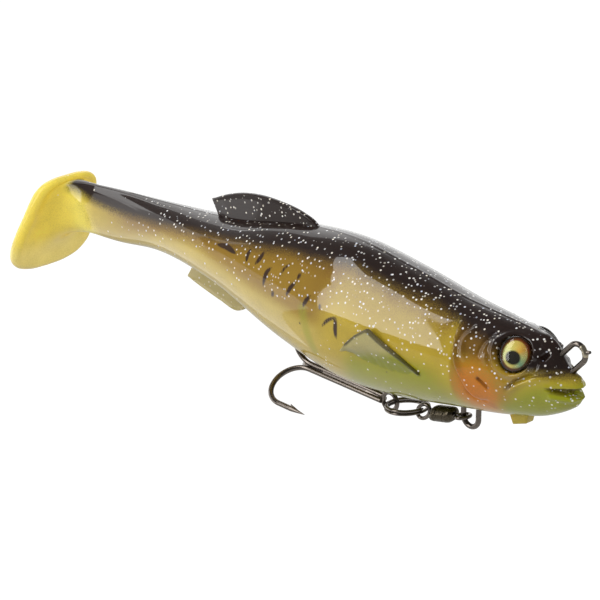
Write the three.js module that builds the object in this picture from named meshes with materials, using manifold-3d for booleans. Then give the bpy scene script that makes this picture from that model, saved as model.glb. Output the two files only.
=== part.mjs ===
// Soft paddle-tail swimbait with an internal wire harness, a keel weight and a belly magnet
// that parks the treble hook.
//
// Units are millimetres. The lure is laid out with its lips at x = 0, its tail towards -X,
// its left side towards +Y and +Z up. The last lines move the whole lure so that the centre
// of the line tie is the origin.
import * as THREE from 'three';
import { ParametricGeometry } from 'three/addons/geometries/ParametricGeometry.js';
import { mergeVertices } from 'three/addons/utils/BufferGeometryUtils.js';
import Module from 'manifold-3d';

const wasm = await Module();
wasm.setup();

// ---------------------------------------------------------------- driving dimensions

// Skin, from the lips to the tail hinge, and the running clearance between pieces.
const bodyLength = 139.5;
const bodyDepthScale = 1;       // multiplies the back and belly heights
const bodyWidth = 22;           // widest, over both flanks
const gap = 0.3;

// Back and belly heights and half width, against the station from lips (0) to tail root (1).
const backLine = [
  [0, 4.4], [0.018, 5.8], [0.036, 7.9], [0.054, 9.5], [0.08, 10.5], [0.107, 11.0], [0.2, 12.5],
  [0.307, 15.2], [0.414, 17.2], [0.521, 16.3], [0.664, 12.6], [0.807, 11.1], [0.914, 10.3], [1, 9.3],
];
const bellyLine = [
  [0, -0.4], [0.02, -2.6], [0.05, -4.8], [0.107, -7.0], [0.2, -9.1], [0.307, -11.4],
  [0.414, -11.9], [0.521, -8.7], [0.664, -1.9], [0.807, 0.3], [0.914, -1.3], [1, -1.7],
];
const widthLine = [
  [0, 0.14], [0.02, 0.28], [0.045, 0.41], [0.107, 0.63], [0.2, 0.85], [0.307, 0.98], [0.414, 1],
  [0.521, 0.91], [0.664, 0.71], [0.807, 0.42], [0.914, 0.25], [1, 0.17],
];

// Mouth, jaw and chin.
const mouthHeight = 1.6;        // z of the line between the lips
const mouthOpening = 1.3;       // at the front
const mouthDepth = 3.4;
const chinTab = { front: 12.2, rear: 16.8, drop: 2, width: 2.4, step: 0.4, rake: 1.3, root: 2 };

// Eyes: a holographic foil disc at the foot of a socket, under a clear cast dome.
const eyeSetback = 12.6;        // behind the lips
const eyeHeight = 7.4;
const eyeRadius = 3.6;
const eyeSocketDepth = 2.6;
const foilThickness = 0.5;
const foilRadius = 2.9;
const domeRise = 1.5;
const domeRim = 0.4;            // the dome's straight side stops this far below the flank
const eyeFollows = { length: 0.75, height: 0.35 };  // share of the flank's slopes it faces along

// Harness: one wire makes the line tie, runs through the head and makes the belly hanger.
const wireRadius = 0.55;
const tieSetback = 1.6;
const tieHeight = 8.9;
const tieRadius = 1.9;          // of the wire's centre line
const tieTilt = THREE.MathUtils.degToRad(47);
const upperLegRun = 6.6;        // of the tie's upper leg before it bends, and of its lower leg
const lowerLegRun = 5.8;
const crimpSetback = 14;
const crimpHeight = 2;
const crimpLength = 5;
const crimpWall = 0.5;
const crimpLead = 1.5;          // straight wire at each end of the sleeve
const hangerSetback = 26.9;     // centre of the hanger's lower bend
const hangerDrop = 2.45;        // below the belly there
const hangerRadius = 1.9;
const harnessBend = 1.9;
const neckRise = 1.4;           // the lower leg turns down this far above the keel run

// Keel weight and magnet, both inside the belly.
const weightSetback = 45;
const weightLength = 24;
const weightRadius = 4.2;
const weightHeight = -4.9;
const weightBluntness = 0.8;    // 1 would make it an ellipsoid
const wireStop = 8;             // the wire ends this far inside the weight's rear
const magnetSetback = 54.5;
const magnetRadius = 2.5;
const magnetThickness = 2.4;
const magnetSkin = 1.3;         // of soft plastic under the magnet

// Swivel, split ring and treble hook.
const linkTilt = THREE.MathUtils.degToRad(11.5);
const linkWire = 0.4;           // wire radius of the swivel's eyes
const frontEyeRadius = 1.4;     // centre line
const rearEyeRadius = 1.6;
const barrelRadius = 1.8;
const barrelLength = 6;
const barrelWall = 0.4;
const barrelShoulder = { drop: 0.5, length: 0.8 };
const shankRadius = 0.5;
const shankHeadRadius = 1;
const shankHeadLength = 0.8;
const ringRadius = 4.15;
const ringSection = { radial: 0.8, coil: 0.56, pitch: 0.66 };
const ringTurns = 1.9;
const ringTilt = THREE.MathUtils.degToRad(4);
const ringStart = 0.6;          // angle of the wire's first end
const ringSlack = 0.15;         // the ring's wire lies this far off the swivel eye's centre
const hookSlack = 0.48;         // and this far off the hook eye's centre
const hookWire = 0.55;
const hookEyeRadius = 1.85;     // centre line
const hookEyeWire = 0.48;
const hookTilt = THREE.MathUtils.degToRad(-2.5);
const hookShank = 21.8;         // from the eye's centre to the start of the bends
const hookGape = 9.8;           // from each shank wire to its point
const hookPoint = 7.3;          // from the end of the bend to the tip
const needleLength = 4;         // the part of it that tapers
const needleEnd = 0.05;         // radius at the tip
const barb = { back: 4.5, length: 2.2, run: 2, rise: 0.9, bury: 0.1, radius: 0.34, end: 0.04 };
const hookArmAngles = [0, 120, 240].map(THREE.MathUtils.degToRad);

// Slot in the belly for the treble's upper arm.
const slotWidth = 3.2;
const slotFrontMargin = 1.8;
const slotRearMargin = 2.6;
const slotTopMargin = 1.2;

// Fins.
const dorsal = { front: 67, rear: 95.6, height: 5, sweep: 2.6, tipHeight: 3.6, thickness: 1.3 };
const dorsalLine = [[0.02, 0.6], [0.18, 2.2], [0.42, 3.4]];  // share of its base, height
const dorsalCrown = [0.64, 0.82];                            // where it is at its full height
const anal = { front: 86.8, rear: 102.8, depth: 3.8, sweep: 3, thickness: 1 };
const analLead = { run: 1.6, full: 5, tip: 3, root: 0.8 };
const pectoral = { front: 31.6, rear: 49.4, height: 6.8, thickness: 1, root: -1.2, flare: 0.14 };
const pectoralTip = { rise: 0.4, inset: 1.2, corner: 2.6, top: 6 };
const pectoralLead = { run: 7.5, height: 4.1 };
const finRoot = 2;              // an uncut fin starts this far inside the back or belly

// Tail: hinges stand in for the flexing of the peduncle.
const stemHingeSetback = 110;
const stemHingeMargin = 1.2;    // its bore reaches this far past each flank
const tailRootTrim = 0.4;       // the paddle's hinge is this far inside the skin's rear end
const paddleHingeRadius = 2.7;
const paddleRake = 0.4;         // backward lean, x per z
const paddleTop = 9.9;
const paddleBottom = -13.3;
const paddleTopHalfWidth = 7.9;
const paddleHalfWidth = 10.9;
const paddleThickness = 3.2;
const paddleEdge = 0.6;         // bevel round the plate
const paddleShoulder = 3.4;     // its shoulders lie this far below the top edge
const paddleWidest = 7.4;       // and its widest part this far above the bottom edge
const paddleStandOff = 1.6;     // plate's mid plane behind the hinge, at the top edge
const neckStub = { length: 4, centre: 2.4, inset: 0.4 };

// ---------------------------------------------------------------- materials

function finish(color, roughness, metalness, opacity = 1) {
  const material = new THREE.MeshStandardMaterial({ color, roughness, metalness });
  material.transparent = opacity < 1;
  material.opacity = opacity;
  return material;
}

// ---------------------------------------------------------------- solids and booleans

const Y = new THREE.Vector3(0, 1, 0);

// A closed mesh with shared vertices, without the collapsed triangles of a pole.
function welded(geometry) {
  const bare = geometry.clone();
  for (const name of Object.keys(bare.attributes)) {
    if (name !== 'position') bare.deleteAttribute(name);
  }
  const merged = mergeVertices(bare, 1e-4);
  const kept = [];
  const index = merged.index.array;
  for (let i = 0; i < index.length; i += 3) {
    const [a, b, c] = [index[i], index[i + 1], index[i + 2]];
    if (a !== b && b !== c && c !== a) kept.push(a, b, c);
  }
  merged.setIndex(kept);
  return merged;
}

function solid(geometry) {
  const closed = welded(geometry);
  return new wasm.Manifold(new wasm.Mesh({
    numProp: 3,
    vertProperties: new Float32Array(closed.attributes.position.array),
    triVerts: new Uint32Array(closed.index.array),
  }));
}

function geometryOf(manifold) {
  const mesh = manifold.getMesh();
  const geometry = new THREE.BufferGeometry();
  geometry.setAttribute('position', new THREE.BufferAttribute(mesh.vertProperties, 3));
  geometry.setIndex(new THREE.BufferAttribute(mesh.triVerts, 1));
  geometry.computeVertexNormals();
  return geometry;
}

function united(solids) {
  return solids.reduce((sum, next) => sum.add(next));
}

// A geometry moved by a turn about Y (positive lowers the -X end) and then a shift.
function placed(geometry, x, y, z, turn = 0) {
  return geometry.clone().rotateY(-turn).translate(x, y, z);
}

function boxBetween(low, high) {
  const size = high.map((value, i) => value - low[i]);
  const centre = high.map((value, i) => (value + low[i]) / 2);
  return new THREE.BoxGeometry(...size).translate(...centre);
}

function uprightCylinder(radius, x, low, high, sides = 40) {
  const cylinder = new THREE.CylinderGeometry(radius, radius, high - low, sides);
  return cylinder.rotateX(Math.PI / 2).translate(x, 0, (low + high) / 2);
}

// A round profile of [radius, distance] pairs, turned about an axis that points to -X.
function turned(profile, sides = 24) {
  const points = profile.map(([radius, along]) => new THREE.Vector2(radius, along));
  return new THREE.LatheGeometry(points, sides).rotateZ(Math.PI / 2);
}

// A round wire along a curve.
function wire(curve, radius, steps, sides = 8) {
  const section = new THREE.Shape().absarc(0, 0, radius, 0, 2 * Math.PI);
  return new THREE.ExtrudeGeometry(section, { steps, curveSegments: sides / 2, extrudePath: curve });
}

// Straight runs through [x, z] points with rounded corners, in the plane y = 0. A rounding
// takes nearly half of a short run at most, so that two neighbours never meet.
function bentPath(points, bend) {
  const most = 0.48;
  const path = new THREE.CurvePath();
  const corners = points.map(([x, z]) => new THREE.Vector3(x, 0, z));
  let start = corners[0];
  for (let i = 1; i < corners.length - 1; i++) {
    const corner = corners[i];
    const sides = [corners[i - 1], corners[i + 1]].map((next) => corner.distanceTo(next));
    const run = Math.min(bend, ...sides.map((length) => most * length));
    const before = corner.clone().lerp(corners[i - 1], run / corner.distanceTo(corners[i - 1]));
    const after = corner.clone().lerp(corners[i + 1], run / corner.distanceTo(corners[i + 1]));
    path.add(new THREE.LineCurve3(start, before));
    path.add(new THREE.QuadraticBezierCurve3(before, corner, after));
    start = after;
  }
  path.add(new THREE.LineCurve3(start, corners.at(-1)));
  return path;
}

// ---------------------------------------------------------------- body surface

function along(line, station) {
  const curve = new THREE.SplineCurve(line.map(([s, value]) => new THREE.Vector2(s, value)));
  let low = 0;
  let high = 1;
  for (let i = 0; i < 40; i++) {
    const middle = (low + high) / 2;
    if (curve.getPoint(middle).x < station) low = middle;
    else high = middle;
  }
  return curve.getPoint(low).y;
}

const stationOf = (x) => THREE.MathUtils.clamp(-x / bodyLength, 0, 1);
const backAt = (x) => bodyDepthScale * along(backLine, stationOf(x));
const bellyAt = (x) => bodyDepthScale * along(bellyLine, stationOf(x));
const halfWidthAt = (x) => (bodyWidth / 2) * along(widthLine, stationOf(x));

// Half width of the section at height z, for the skin or a surface offset from it.
function flankAt(x, z, offset = 0) {
  const middle = (backAt(x) + bellyAt(x)) / 2;
  const reach = (backAt(x) - bellyAt(x)) / 2 + offset;
  const share = THREE.MathUtils.clamp((z - middle) / reach, -1, 1);
  return (halfWidthAt(x) + offset) * Math.sqrt(1 - share * share);
}

// The whole skin as one closed surface, or one offset outwards from it. Its rings crowd
// towards the head, and a point in front of the lips and one behind the tail close it.
function skinSolid(offset = 0) {
  const rings = 44;
  const sides = 32;
  const crowding = 0.35;
  const lipPoint = 0.4;
  const tailPoint = 1;
  const surface = (u, v, target) => {
    const ring = Math.round(v * rings);
    const share = THREE.MathUtils.clamp((ring - 1) / (rings - 2), 0, 1);
    const x = -bodyLength * (crowding * share ** 2 + (1 - crowding) * share);
    const shrink = ring === 0 || ring === rings ? 0 : 1;
    const push = ring === 0 ? lipPoint + offset : ring === rings ? -tailPoint - offset : 0;
    const middle = (backAt(x) + bellyAt(x)) / 2;
    const depth = (backAt(x) - bellyAt(x)) / 2 + offset;
    const angle = 2 * Math.PI * (u === 1 ? 0 : u);
    target.set(
      x + push,
      shrink * (halfWidthAt(x) + offset) * Math.sin(angle),
      middle + shrink * depth * Math.cos(angle),
    );
  };
  const geometry = new ParametricGeometry(surface, sides, rings);
  const skin = solid(geometry);
  return skin.volume() < 0 ? solid(flipped(geometry)) : skin;
}

function flipped(geometry) {
  const copy = geometry.clone();
  const index = copy.index.array;
  for (let i = 0; i < index.length; i += 3) [index[i], index[i + 1]] = [index[i + 1], index[i]];
  return copy;
}

// ---------------------------------------------------------------- harness layout

const tieDirection = new THREE.Vector2(Math.cos(tieTilt), Math.sin(tieTilt));
const tieNormal = new THREE.Vector2(-tieDirection.y, tieDirection.x);
const tieCentre = new THREE.Vector2(-tieSetback, tieHeight);
const tiePoint = (across, out) => [
  tieCentre.x + tieNormal.x * across + tieDirection.x * out,
  tieCentre.y + tieNormal.y * across + tieDirection.y * out,
];

const hangerX = -hangerSetback;
const hangerZ = bellyAt(hangerX) - hangerDrop;
const legSpacing = 2 * wireRadius + gap;
const weightFront = -(weightSetback - weightLength / 2);
const weightRear = -(weightSetback + weightLength / 2);
const wireEnd = weightRear + wireStop;

const upperLeg = [
  tiePoint(tieRadius, 0),
  tiePoint(tieRadius, -upperLegRun),
  [-crimpSetback + crimpLength / 2 + crimpLead, crimpHeight + legSpacing / 2],
  [-crimpSetback - crimpLength / 2 + gap, crimpHeight + legSpacing / 2],
];
const lowerLeg = [
  tiePoint(-tieRadius, 0),
  tiePoint(-tieRadius, -lowerLegRun),
  [-crimpSetback + crimpLength / 2 + crimpLead, crimpHeight - legSpacing / 2],
  [-crimpSetback - crimpLength / 2 - crimpLead, crimpHeight - legSpacing / 2],
  [hangerX + hangerRadius, weightHeight + neckRise],
  [hangerX + hangerRadius, hangerZ],
];
const keelRun = [
  [hangerX - hangerRadius, hangerZ],
  [hangerX - hangerRadius, weightHeight],
  [wireEnd, weightHeight],
];

// A clockwise half circle that starts at the angle given, in the plane y = 0.
function halfCircle(centreX, centreZ, radius, start) {
  const points = [];
  const steps = 10;
  for (let i = 0; i <= steps; i++) {
    const angle = start - (Math.PI * i) / steps;
    const [x, z] = [centreX + radius * Math.cos(angle), centreZ + radius * Math.sin(angle)];
    points.push(new THREE.Vector3(x, 0, z));
  }
  return new THREE.CatmullRomCurve3(points);
}

const tieBend = halfCircle(tieCentre.x, tieCentre.y, tieRadius, tieTilt + Math.PI / 2);
const hangerBend = halfCircle(hangerX, hangerZ, hangerRadius, 0);

// The whole wire: back from the crimp to the tie, round it, down to the hanger, round that
// and along the keel.
function harnessPath() {
  const path = new THREE.CurvePath();
  const add = (part) => part.curves.forEach((curve) => path.add(curve));
  add(bentPath([...upperLeg].reverse(), harnessBend));
  path.add(tieBend);
  add(bentPath(lowerLeg, harnessBend));
  path.add(hangerBend);
  add(bentPath(keelRun, harnessBend));
  return path;
}

// The holes that the wire lies in. The bends of the tie and the hanger are outside the skin.
function harnessChannel() {
  const radius = wireRadius + gap;
  const rear = [...keelRun.slice(0, -1), [wireEnd - gap, weightHeight]];
  return united([
    solid(wire(bentPath(upperLeg, harnessBend), radius, 24)),
    solid(wire(bentPath(lowerLeg, harnessBend), radius, 40)),
    solid(wire(bentPath(rear, harnessBend), radius, 24)),
  ]);
}

// ---------------------------------------------------------------- inner pieces

function weightProfile(offset) {
  const profile = [];
  const steps = 14;
  for (let i = 0; i <= steps; i++) {
    const angle = (Math.PI * i) / steps;
    const swell = i % steps === 0 ? 0 : Math.sin(angle) ** weightBluntness;
    const radius = (weightRadius + offset) * swell;
    profile.push([radius, -(weightLength / 2 + offset) * Math.cos(angle)]);
  }
  return profile;
}

function weightSolid(offset = 0) {
  return solid(turned(weightProfile(offset)).translate(-weightSetback, 0, weightHeight));
}

function crimpBlock(offset) {
  const half = legSpacing / 2;
  const radius = wireRadius + gap + crimpWall + offset;
  const outline = new THREE.Shape();
  outline.absarc(0, half, radius, 0, Math.PI);
  outline.absarc(0, -half, radius, Math.PI, 2 * Math.PI);
  outline.closePath();
  const length = crimpLength + 2 * offset;
  const block = new THREE.ExtrudeGeometry(outline, {
    depth: length, bevelEnabled: false, curveSegments: 10,
  });
  block.translate(0, 0, -length / 2).rotateX(Math.PI / 2).rotateZ(Math.PI / 2);
  return solid(block.translate(-crimpSetback, 0, crimpHeight));
}

const magnetX = -magnetSetback;
const magnetLow = bellyAt(magnetX) + magnetSkin;
const magnetHigh = magnetLow + magnetThickness;

// ---------------------------------------------------------------- link chain layout

const linkDirection = new THREE.Vector2(-Math.cos(linkTilt), -Math.sin(linkTilt));
const onLink = (distance) => [
  hangerX + linkDirection.x * distance,
  hangerZ + linkDirection.y * distance,
];
const frontEyeAt = hangerRadius - wireRadius - gap - 2 * linkWire + frontEyeRadius + linkWire;
const barrelFront = frontEyeAt + frontEyeRadius + linkWire + gap;
const barrelRear = barrelFront + barrelLength;
const rearEyeAt = barrelRear + gap + rearEyeRadius + linkWire;
const ringFrontAt = rearEyeAt + ringSlack;

const ringFront = onLink(ringFrontAt);
const ringCentre = [
  ringFront[0] - ringRadius * Math.cos(ringTilt),
  ringFront[1] - ringRadius * Math.sin(ringTilt),
];
const ringRear = [
  ringCentre[0] - ringRadius * Math.cos(ringTilt),
  ringCentre[1] - ringRadius * Math.sin(ringTilt),
];
const hookEye = [ringRear[0] - hookSlack, ringRear[1]];
const bundleRadius = hookWire * (2 / Math.sqrt(3));
const hookReach = bundleRadius + hookGape;

// A point of the treble: distance behind the eye, distance from the hook's axis, arm angle.
function onHook(back, out, angle) {
  const point = new THREE.Vector3(-back, out * Math.sin(angle), out * Math.cos(angle));
  point.applyAxisAngle(Y, -hookTilt);
  return point.add(new THREE.Vector3(hookEye[0], 0, hookEye[1]));
}

// ---------------------------------------------------------------- head and torso

const stemHingeX = -stemHingeSetback;
const stemHingeRadius = halfWidthAt(stemHingeX) + stemHingeMargin;
const tailRootX = -bodyLength + tailRootTrim;
const tall = 60;                // half height of a cut that goes right through

function hookSlot() {
  const bendEnd = onHook(hookShank + hookGape / 2, hookReach / 2, 0);
  const tip = onHook(hookShank - hookPoint, hookReach, 0);
  return solid(boxBetween(
    [bendEnd.x - hookWire - slotRearMargin, -slotWidth / 2, -tall],
    [tip.x + slotFrontMargin, slotWidth / 2, tip.z + hookWire + slotTopMargin],
  ));
}

function mouthWedge() {
  const ahead = 1;
  const outline = new THREE.Shape();
  outline.moveTo(ahead, mouthHeight + mouthOpening / 2);
  outline.lineTo(ahead, mouthHeight - mouthOpening / 2);
  outline.lineTo(-mouthDepth, mouthHeight);
  outline.closePath();
  const wedge = new THREE.ExtrudeGeometry(outline, { depth: bodyWidth, bevelEnabled: false });
  return solid(wedge.translate(0, 0, -bodyWidth / 2).rotateX(Math.PI / 2));
}

function chinBlock() {
  const outline = new THREE.Shape();
  const root = bellyAt(-chinTab.rear) + chinTab.root;
  outline.moveTo(-chinTab.front, root);
  outline.lineTo(-chinTab.rear, root);
  outline.lineTo(-chinTab.rear, bellyAt(-chinTab.rear) - chinTab.step);
  outline.lineTo(-chinTab.rear + chinTab.rake, bellyAt(-chinTab.rear) - chinTab.drop + chinTab.step);
  outline.lineTo(-chinTab.front, bellyAt(-chinTab.front) - chinTab.drop);
  outline.closePath();
  const tab = new THREE.ExtrudeGeometry(outline, { depth: chinTab.width, bevelEnabled: false });
  return solid(tab.translate(0, 0, -chinTab.width / 2).rotateX(Math.PI / 2));
}

// Where an eye sits, with its outward direction. side is +1 for left and -1 for right.
function eyeSeat(side) {
  const x = -eyeSetback;
  const y = flankAt(x, eyeHeight);
  const step = 0.5;
  const slopeX = (flankAt(x + step, eyeHeight) - flankAt(x - step, eyeHeight)) / (2 * step);
  const slopeZ = (flankAt(x, eyeHeight + step) - flankAt(x, eyeHeight - step)) / (2 * step);
  return {
    centre: new THREE.Vector3(x, side * y, eyeHeight),
    outward: new THREE.Vector3(-slopeX * eyeFollows.length, side, -slopeZ * eyeFollows.height)
      .normalize(),
  };
}

// A round profile of [radius, height] pairs stood on an eye's seat.
function onEye(profile, side, sides = 24) {
  const points = profile.map(([radius, height]) => new THREE.Vector2(radius, height));
  const { centre, outward } = eyeSeat(side);
  const turn = new THREE.Quaternion().setFromUnitVectors(Y, outward);
  const geometry = new THREE.LatheGeometry(points, sides).applyQuaternion(turn);
  return geometry.translate(centre.x, centre.y, centre.z);
}

function eyeSocket(side) {
  const past = 4;
  const radius = eyeRadius + gap;
  return solid(onEye([
    [0, -eyeSocketDepth], [radius, -eyeSocketDepth], [radius, past], [0, past],
  ], side));
}

function allBehind(x) {
  return solid(boxBetween([-2 * bodyLength, -tall, -tall], [x, tall, tall]));
}

function torso(skin) {
  const hingeBore = solid(uprightCylinder(stemHingeRadius, stemHingeX, -tall, tall));
  const cuts = united([
    allBehind(stemHingeX), hingeBore, hookSlot(), mouthWedge(), eyeSocket(1), eyeSocket(-1),
    harnessChannel(), crimpBlock(gap), weightSolid(gap),
    solid(uprightCylinder(magnetRadius + gap, magnetX, magnetLow - gap, weightHeight, 24)),
  ]);
  return skin.add(chinBlock()).subtract(cuts);
}

// ---------------------------------------------------------------- tail

function tailStem(skin) {
  const knuckle = solid(uprightCylinder(stemHingeRadius - gap, stemHingeX, -tall, tall));
  const rootBore = solid(uprightCylinder(paddleHingeRadius, tailRootX, -tall, tall));
  return skin.intersect(allBehind(stemHingeX).add(knuckle))
    .subtract(allBehind(tailRootX)).subtract(rootBore);
}

// The plate seen from behind: nearly flat at the top, widest low down, rounded at the bottom.
function paddleOutline() {
  const outline = new THREE.Shape();
  const shoulder = paddleTop - paddleShoulder;
  const widest = paddleBottom + paddleWidest;
  const half = paddleHalfWidth;
  outline.moveTo(0, paddleTop);
  outline.bezierCurveTo(paddleTopHalfWidth * 0.8, paddleTop,
    paddleTopHalfWidth, shoulder + paddleShoulder * 0.82, paddleTopHalfWidth + 0.5, shoulder);
  outline.quadraticCurveTo(half, widest + paddleWidest * 0.49, half, widest);
  outline.bezierCurveTo(half, paddleBottom + paddleWidest * 0.35, half * 0.5, paddleBottom,
    0, paddleBottom);
  const right = outline.getPoints(7);
  const left = right.slice(1, -1).reverse().map((point) => new THREE.Vector2(-point.x, point.y));
  return new THREE.Shape([...right, ...left]);
}

function tailPaddle(skin) {
  const depth = paddleThickness - 2 * paddleEdge;
  const plate = new THREE.ExtrudeGeometry(paddleOutline(), {
    depth, bevelEnabled: true, bevelThickness: paddleEdge, bevelSize: paddleEdge,
    bevelOffset: -paddleEdge, bevelSegments: 2,
  });
  plate.translate(0, 0, -depth / 2);
  plate.rotateX(Math.PI / 2).rotateZ(Math.PI / 2);
  const lean = new THREE.Matrix4().makeShear(0, 0, 0, 0, paddleRake, 0);
  plate.applyMatrix4(lean);
  plate.translate(tailRootX - paddleHingeRadius - paddleStandOff - paddleRake * paddleTop, 0, 0);
  const neck = skin.intersect(allBehind(tailRootX));
  const knuckle = solid(uprightCylinder(paddleHingeRadius - gap, tailRootX, -tall, tall));
  const [high, low] = [backAt(tailRootX), bellyAt(tailRootX)];
  const stub = new THREE.CylinderGeometry(1, 1, neckStub.length, 20).rotateZ(Math.PI / 2);
  stub.scale(1, halfWidthAt(tailRootX), (high - low) / 2 - neckStub.inset);
  stub.translate(tailRootX - neckStub.centre, 0, (high + low) / 2);
  return united([solid(plate), neck, skin.intersect(knuckle), solid(stub)]);
}

// ---------------------------------------------------------------- fins

// A flat fin cut from an outline of [x, z] points, standing in the plane y = 0.
function finPlate(points, thickness) {
  const outline = new THREE.Shape(points.map(([x, z]) => new THREE.Vector2(x, z)));
  const plate = new THREE.ExtrudeGeometry(outline, { depth: thickness, bevelEnabled: false });
  return plate.translate(0, 0, -thickness / 2).rotateX(Math.PI / 2);
}

function dorsalFin(cleared) {
  const front = -dorsal.front;
  const rear = -dorsal.rear;
  const crest = (share) => [
    THREE.MathUtils.lerp(front, rear, share),
    THREE.MathUtils.lerp(backAt(front), backAt(rear), share),
  ];
  const above = (share, height) => [crest(share)[0], crest(share)[1] + height];
  const tip = above(1, dorsal.tipHeight);
  const plate = finPlate([
    above(dorsalLine[0][0], -finRoot),
    ...dorsalLine.map(([share, height]) => above(share, height)),
    ...dorsalCrown.map((share) => above(share, dorsal.height)),
    [tip[0] - dorsal.sweep, tip[1]],
    above(1, -finRoot),
  ], dorsal.thickness);
  return solid(plate).subtract(cleared);
}

function analFin(cleared) {
  const front = -anal.front;
  const rear = -anal.rear;
  const full = front - analLead.full;
  const plate = finPlate([
    [front, bellyAt(front) + finRoot],
    [front - analLead.run, bellyAt(front) - analLead.run],
    [full, bellyAt(full) - anal.depth],
    [rear - anal.sweep, bellyAt(rear) - analLead.tip],
    [rear, bellyAt(rear) - analLead.root],
    [rear, bellyAt(rear) + finRoot],
  ], anal.thickness);
  return solid(plate).subtract(cleared);
}

// A pectoral fin lies along the flank and flares outwards towards its upper rear corner.
function pectoralFin(side) {
  const { front, rear, root, height, flare } = pectoral;
  const corners = [
    [-front, root],
    [-rear, root + pectoralTip.rise],
    [-rear + pectoralTip.inset, root + pectoralTip.corner],
    [-rear + pectoralTip.top, root + height],
    [-front - pectoralLead.run, root + pectoralLead.height],
  ];
  const outline = new THREE.Shape(corners.map(([x, z]) => new THREE.Vector2(x, z)));
  const depth = pectoral.thickness;
  const plate = new THREE.ExtrudeGeometry(outline, { depth, bevelEnabled: false });
  const position = plate.attributes.position;
  const standOff = 1.5 * gap;   // the faceted skin bulges a little past its own formula
  for (let i = 0; i < position.count; i++) {
    const x = position.getX(i);
    const z = position.getY(i);
    const out = flankAt(x, z) + standOff + flare * (z - root) + position.getZ(i);
    position.setXYZ(i, x, side * out, z);
  }
  return solid(side > 0 ? flipped(welded(plate)) : plate);
}

// ---------------------------------------------------------------- eyes

function eyeFoil(side) {
  const low = -eyeSocketDepth + gap;
  return solid(onEye([
    [0, low], [foilRadius, low], [foilRadius, low + foilThickness], [0, low + foilThickness],
  ], side));
}

function eyeDome(side) {
  const foot = -eyeSocketDepth + gap + foilThickness + gap;
  const profile = [[0, foot], [eyeRadius, foot], [eyeRadius, -domeRim]];
  const steps = 6;
  for (let i = 1; i < steps; i++) {
    const angle = (Math.PI / 2) * (i / steps);
    profile.push([eyeRadius * Math.cos(angle), -domeRim + domeRise * Math.sin(angle)]);
  }
  profile.push([0, -domeRim + domeRise]);
  return solid(onEye(profile, side));
}

// ---------------------------------------------------------------- hardware

function harness() {
  return solid(wire(harnessPath(), wireRadius, 120));
}

function crimpSleeve() {
  const radius = wireRadius + gap;
  const hole = new THREE.CylinderGeometry(radius, radius, 2 * crimpLength, 16).rotateZ(Math.PI / 2);
  hole.translate(-crimpSetback, 0, crimpHeight);
  const bores = [1, -1].map((side) => solid(hole.clone().translate(0, 0, (side * legSpacing) / 2)));
  return crimpBlock(0).subtract(united(bores));
}

function keelWeight() {
  const past = 4;
  const length = weightFront + past - (wireEnd - gap);
  const radius = wireRadius + gap;
  const bore = new THREE.CylinderGeometry(radius, radius, length, 16).rotateZ(Math.PI / 2);
  bore.translate(wireEnd - gap + length / 2, 0, weightHeight);
  const seat = uprightCylinder(magnetRadius + gap, magnetX, magnetLow - past, magnetHigh + gap, 24);
  return weightSolid().subtract(united([solid(bore), solid(seat)]));
}

function magnet() {
  return solid(uprightCylinder(magnetRadius, magnetX, magnetLow, magnetHigh, 24));
}

// An eye of wire with a headed shank that runs into the barrel. face is +1 when the shank
// leaves the eye towards the rear and -1 when it leaves towards the front.
function swivelEye(at, radius, face, level) {
  const ring = new THREE.TorusGeometry(radius, linkWire, 8, 20).rotateX(level ? 0 : Math.PI / 2);
  const [x, z] = onLink(at);
  const barrelEnd = face > 0 ? barrelFront : barrelRear;
  const headStart = barrelEnd + face * (barrelWall + gap);
  const headEnd = headStart + face * shankHeadLength;
  const shank = [
    [0, at + face * radius], [shankRadius, at + face * radius], [shankRadius, headStart],
    [shankHeadRadius, headStart], [shankHeadRadius, headEnd], [0, headEnd],
  ];
  if (face < 0) shank.reverse();
  return solid(placed(ring, x, 0, z, linkTilt)).add(
    solid(placed(turned(shank, 14), hangerX, 0, hangerZ, linkTilt)),
  );
}

function swivelBarrel() {
  const inner = barrelRadius - barrelWall;
  const mouth = shankRadius + gap;
  const end = barrelRadius - barrelShoulder.drop;
  const profile = [
    [mouth, barrelFront], [end, barrelFront],
    [barrelRadius, barrelFront + barrelShoulder.length],
    [barrelRadius, barrelRear - barrelShoulder.length],
    [end, barrelRear], [mouth, barrelRear],
    [mouth, barrelRear - barrelWall], [inner, barrelRear - barrelWall],
    [inner, barrelFront + barrelWall], [mouth, barrelFront + barrelWall], [mouth, barrelFront],
  ];
  return solid(placed(turned(profile, 24), hangerX, 0, hangerZ, linkTilt));
}

// A flat-wire ring of nearly two turns, one coil lying on the other.
function splitRing() {
  class Coil extends THREE.Curve {
    getPoint(t, target = new THREE.Vector3()) {
      const angle = 2 * Math.PI * ringTurns * t + ringStart;
      const rise = ringSection.pitch * ringTurns * (t - 0.5);
      return target.set(ringRadius * Math.cos(angle), ringRadius * Math.sin(angle), rise);
    }
  }
  const radial = ringSection.radial / 2;
  const coil = ringSection.coil / 2;
  const section = new THREE.Shape([
    new THREE.Vector2(-radial, -coil), new THREE.Vector2(radial, -coil),
    new THREE.Vector2(radial, coil), new THREE.Vector2(-radial, coil),
  ]);
  const strip = new THREE.ExtrudeGeometry(section, { steps: 60, extrudePath: new Coil() });
  return solid(placed(strip, ringCentre[0], 0, ringCentre[1], ringTilt));
}

const needleStart = hookShank - hookPoint + needleLength;

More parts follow.
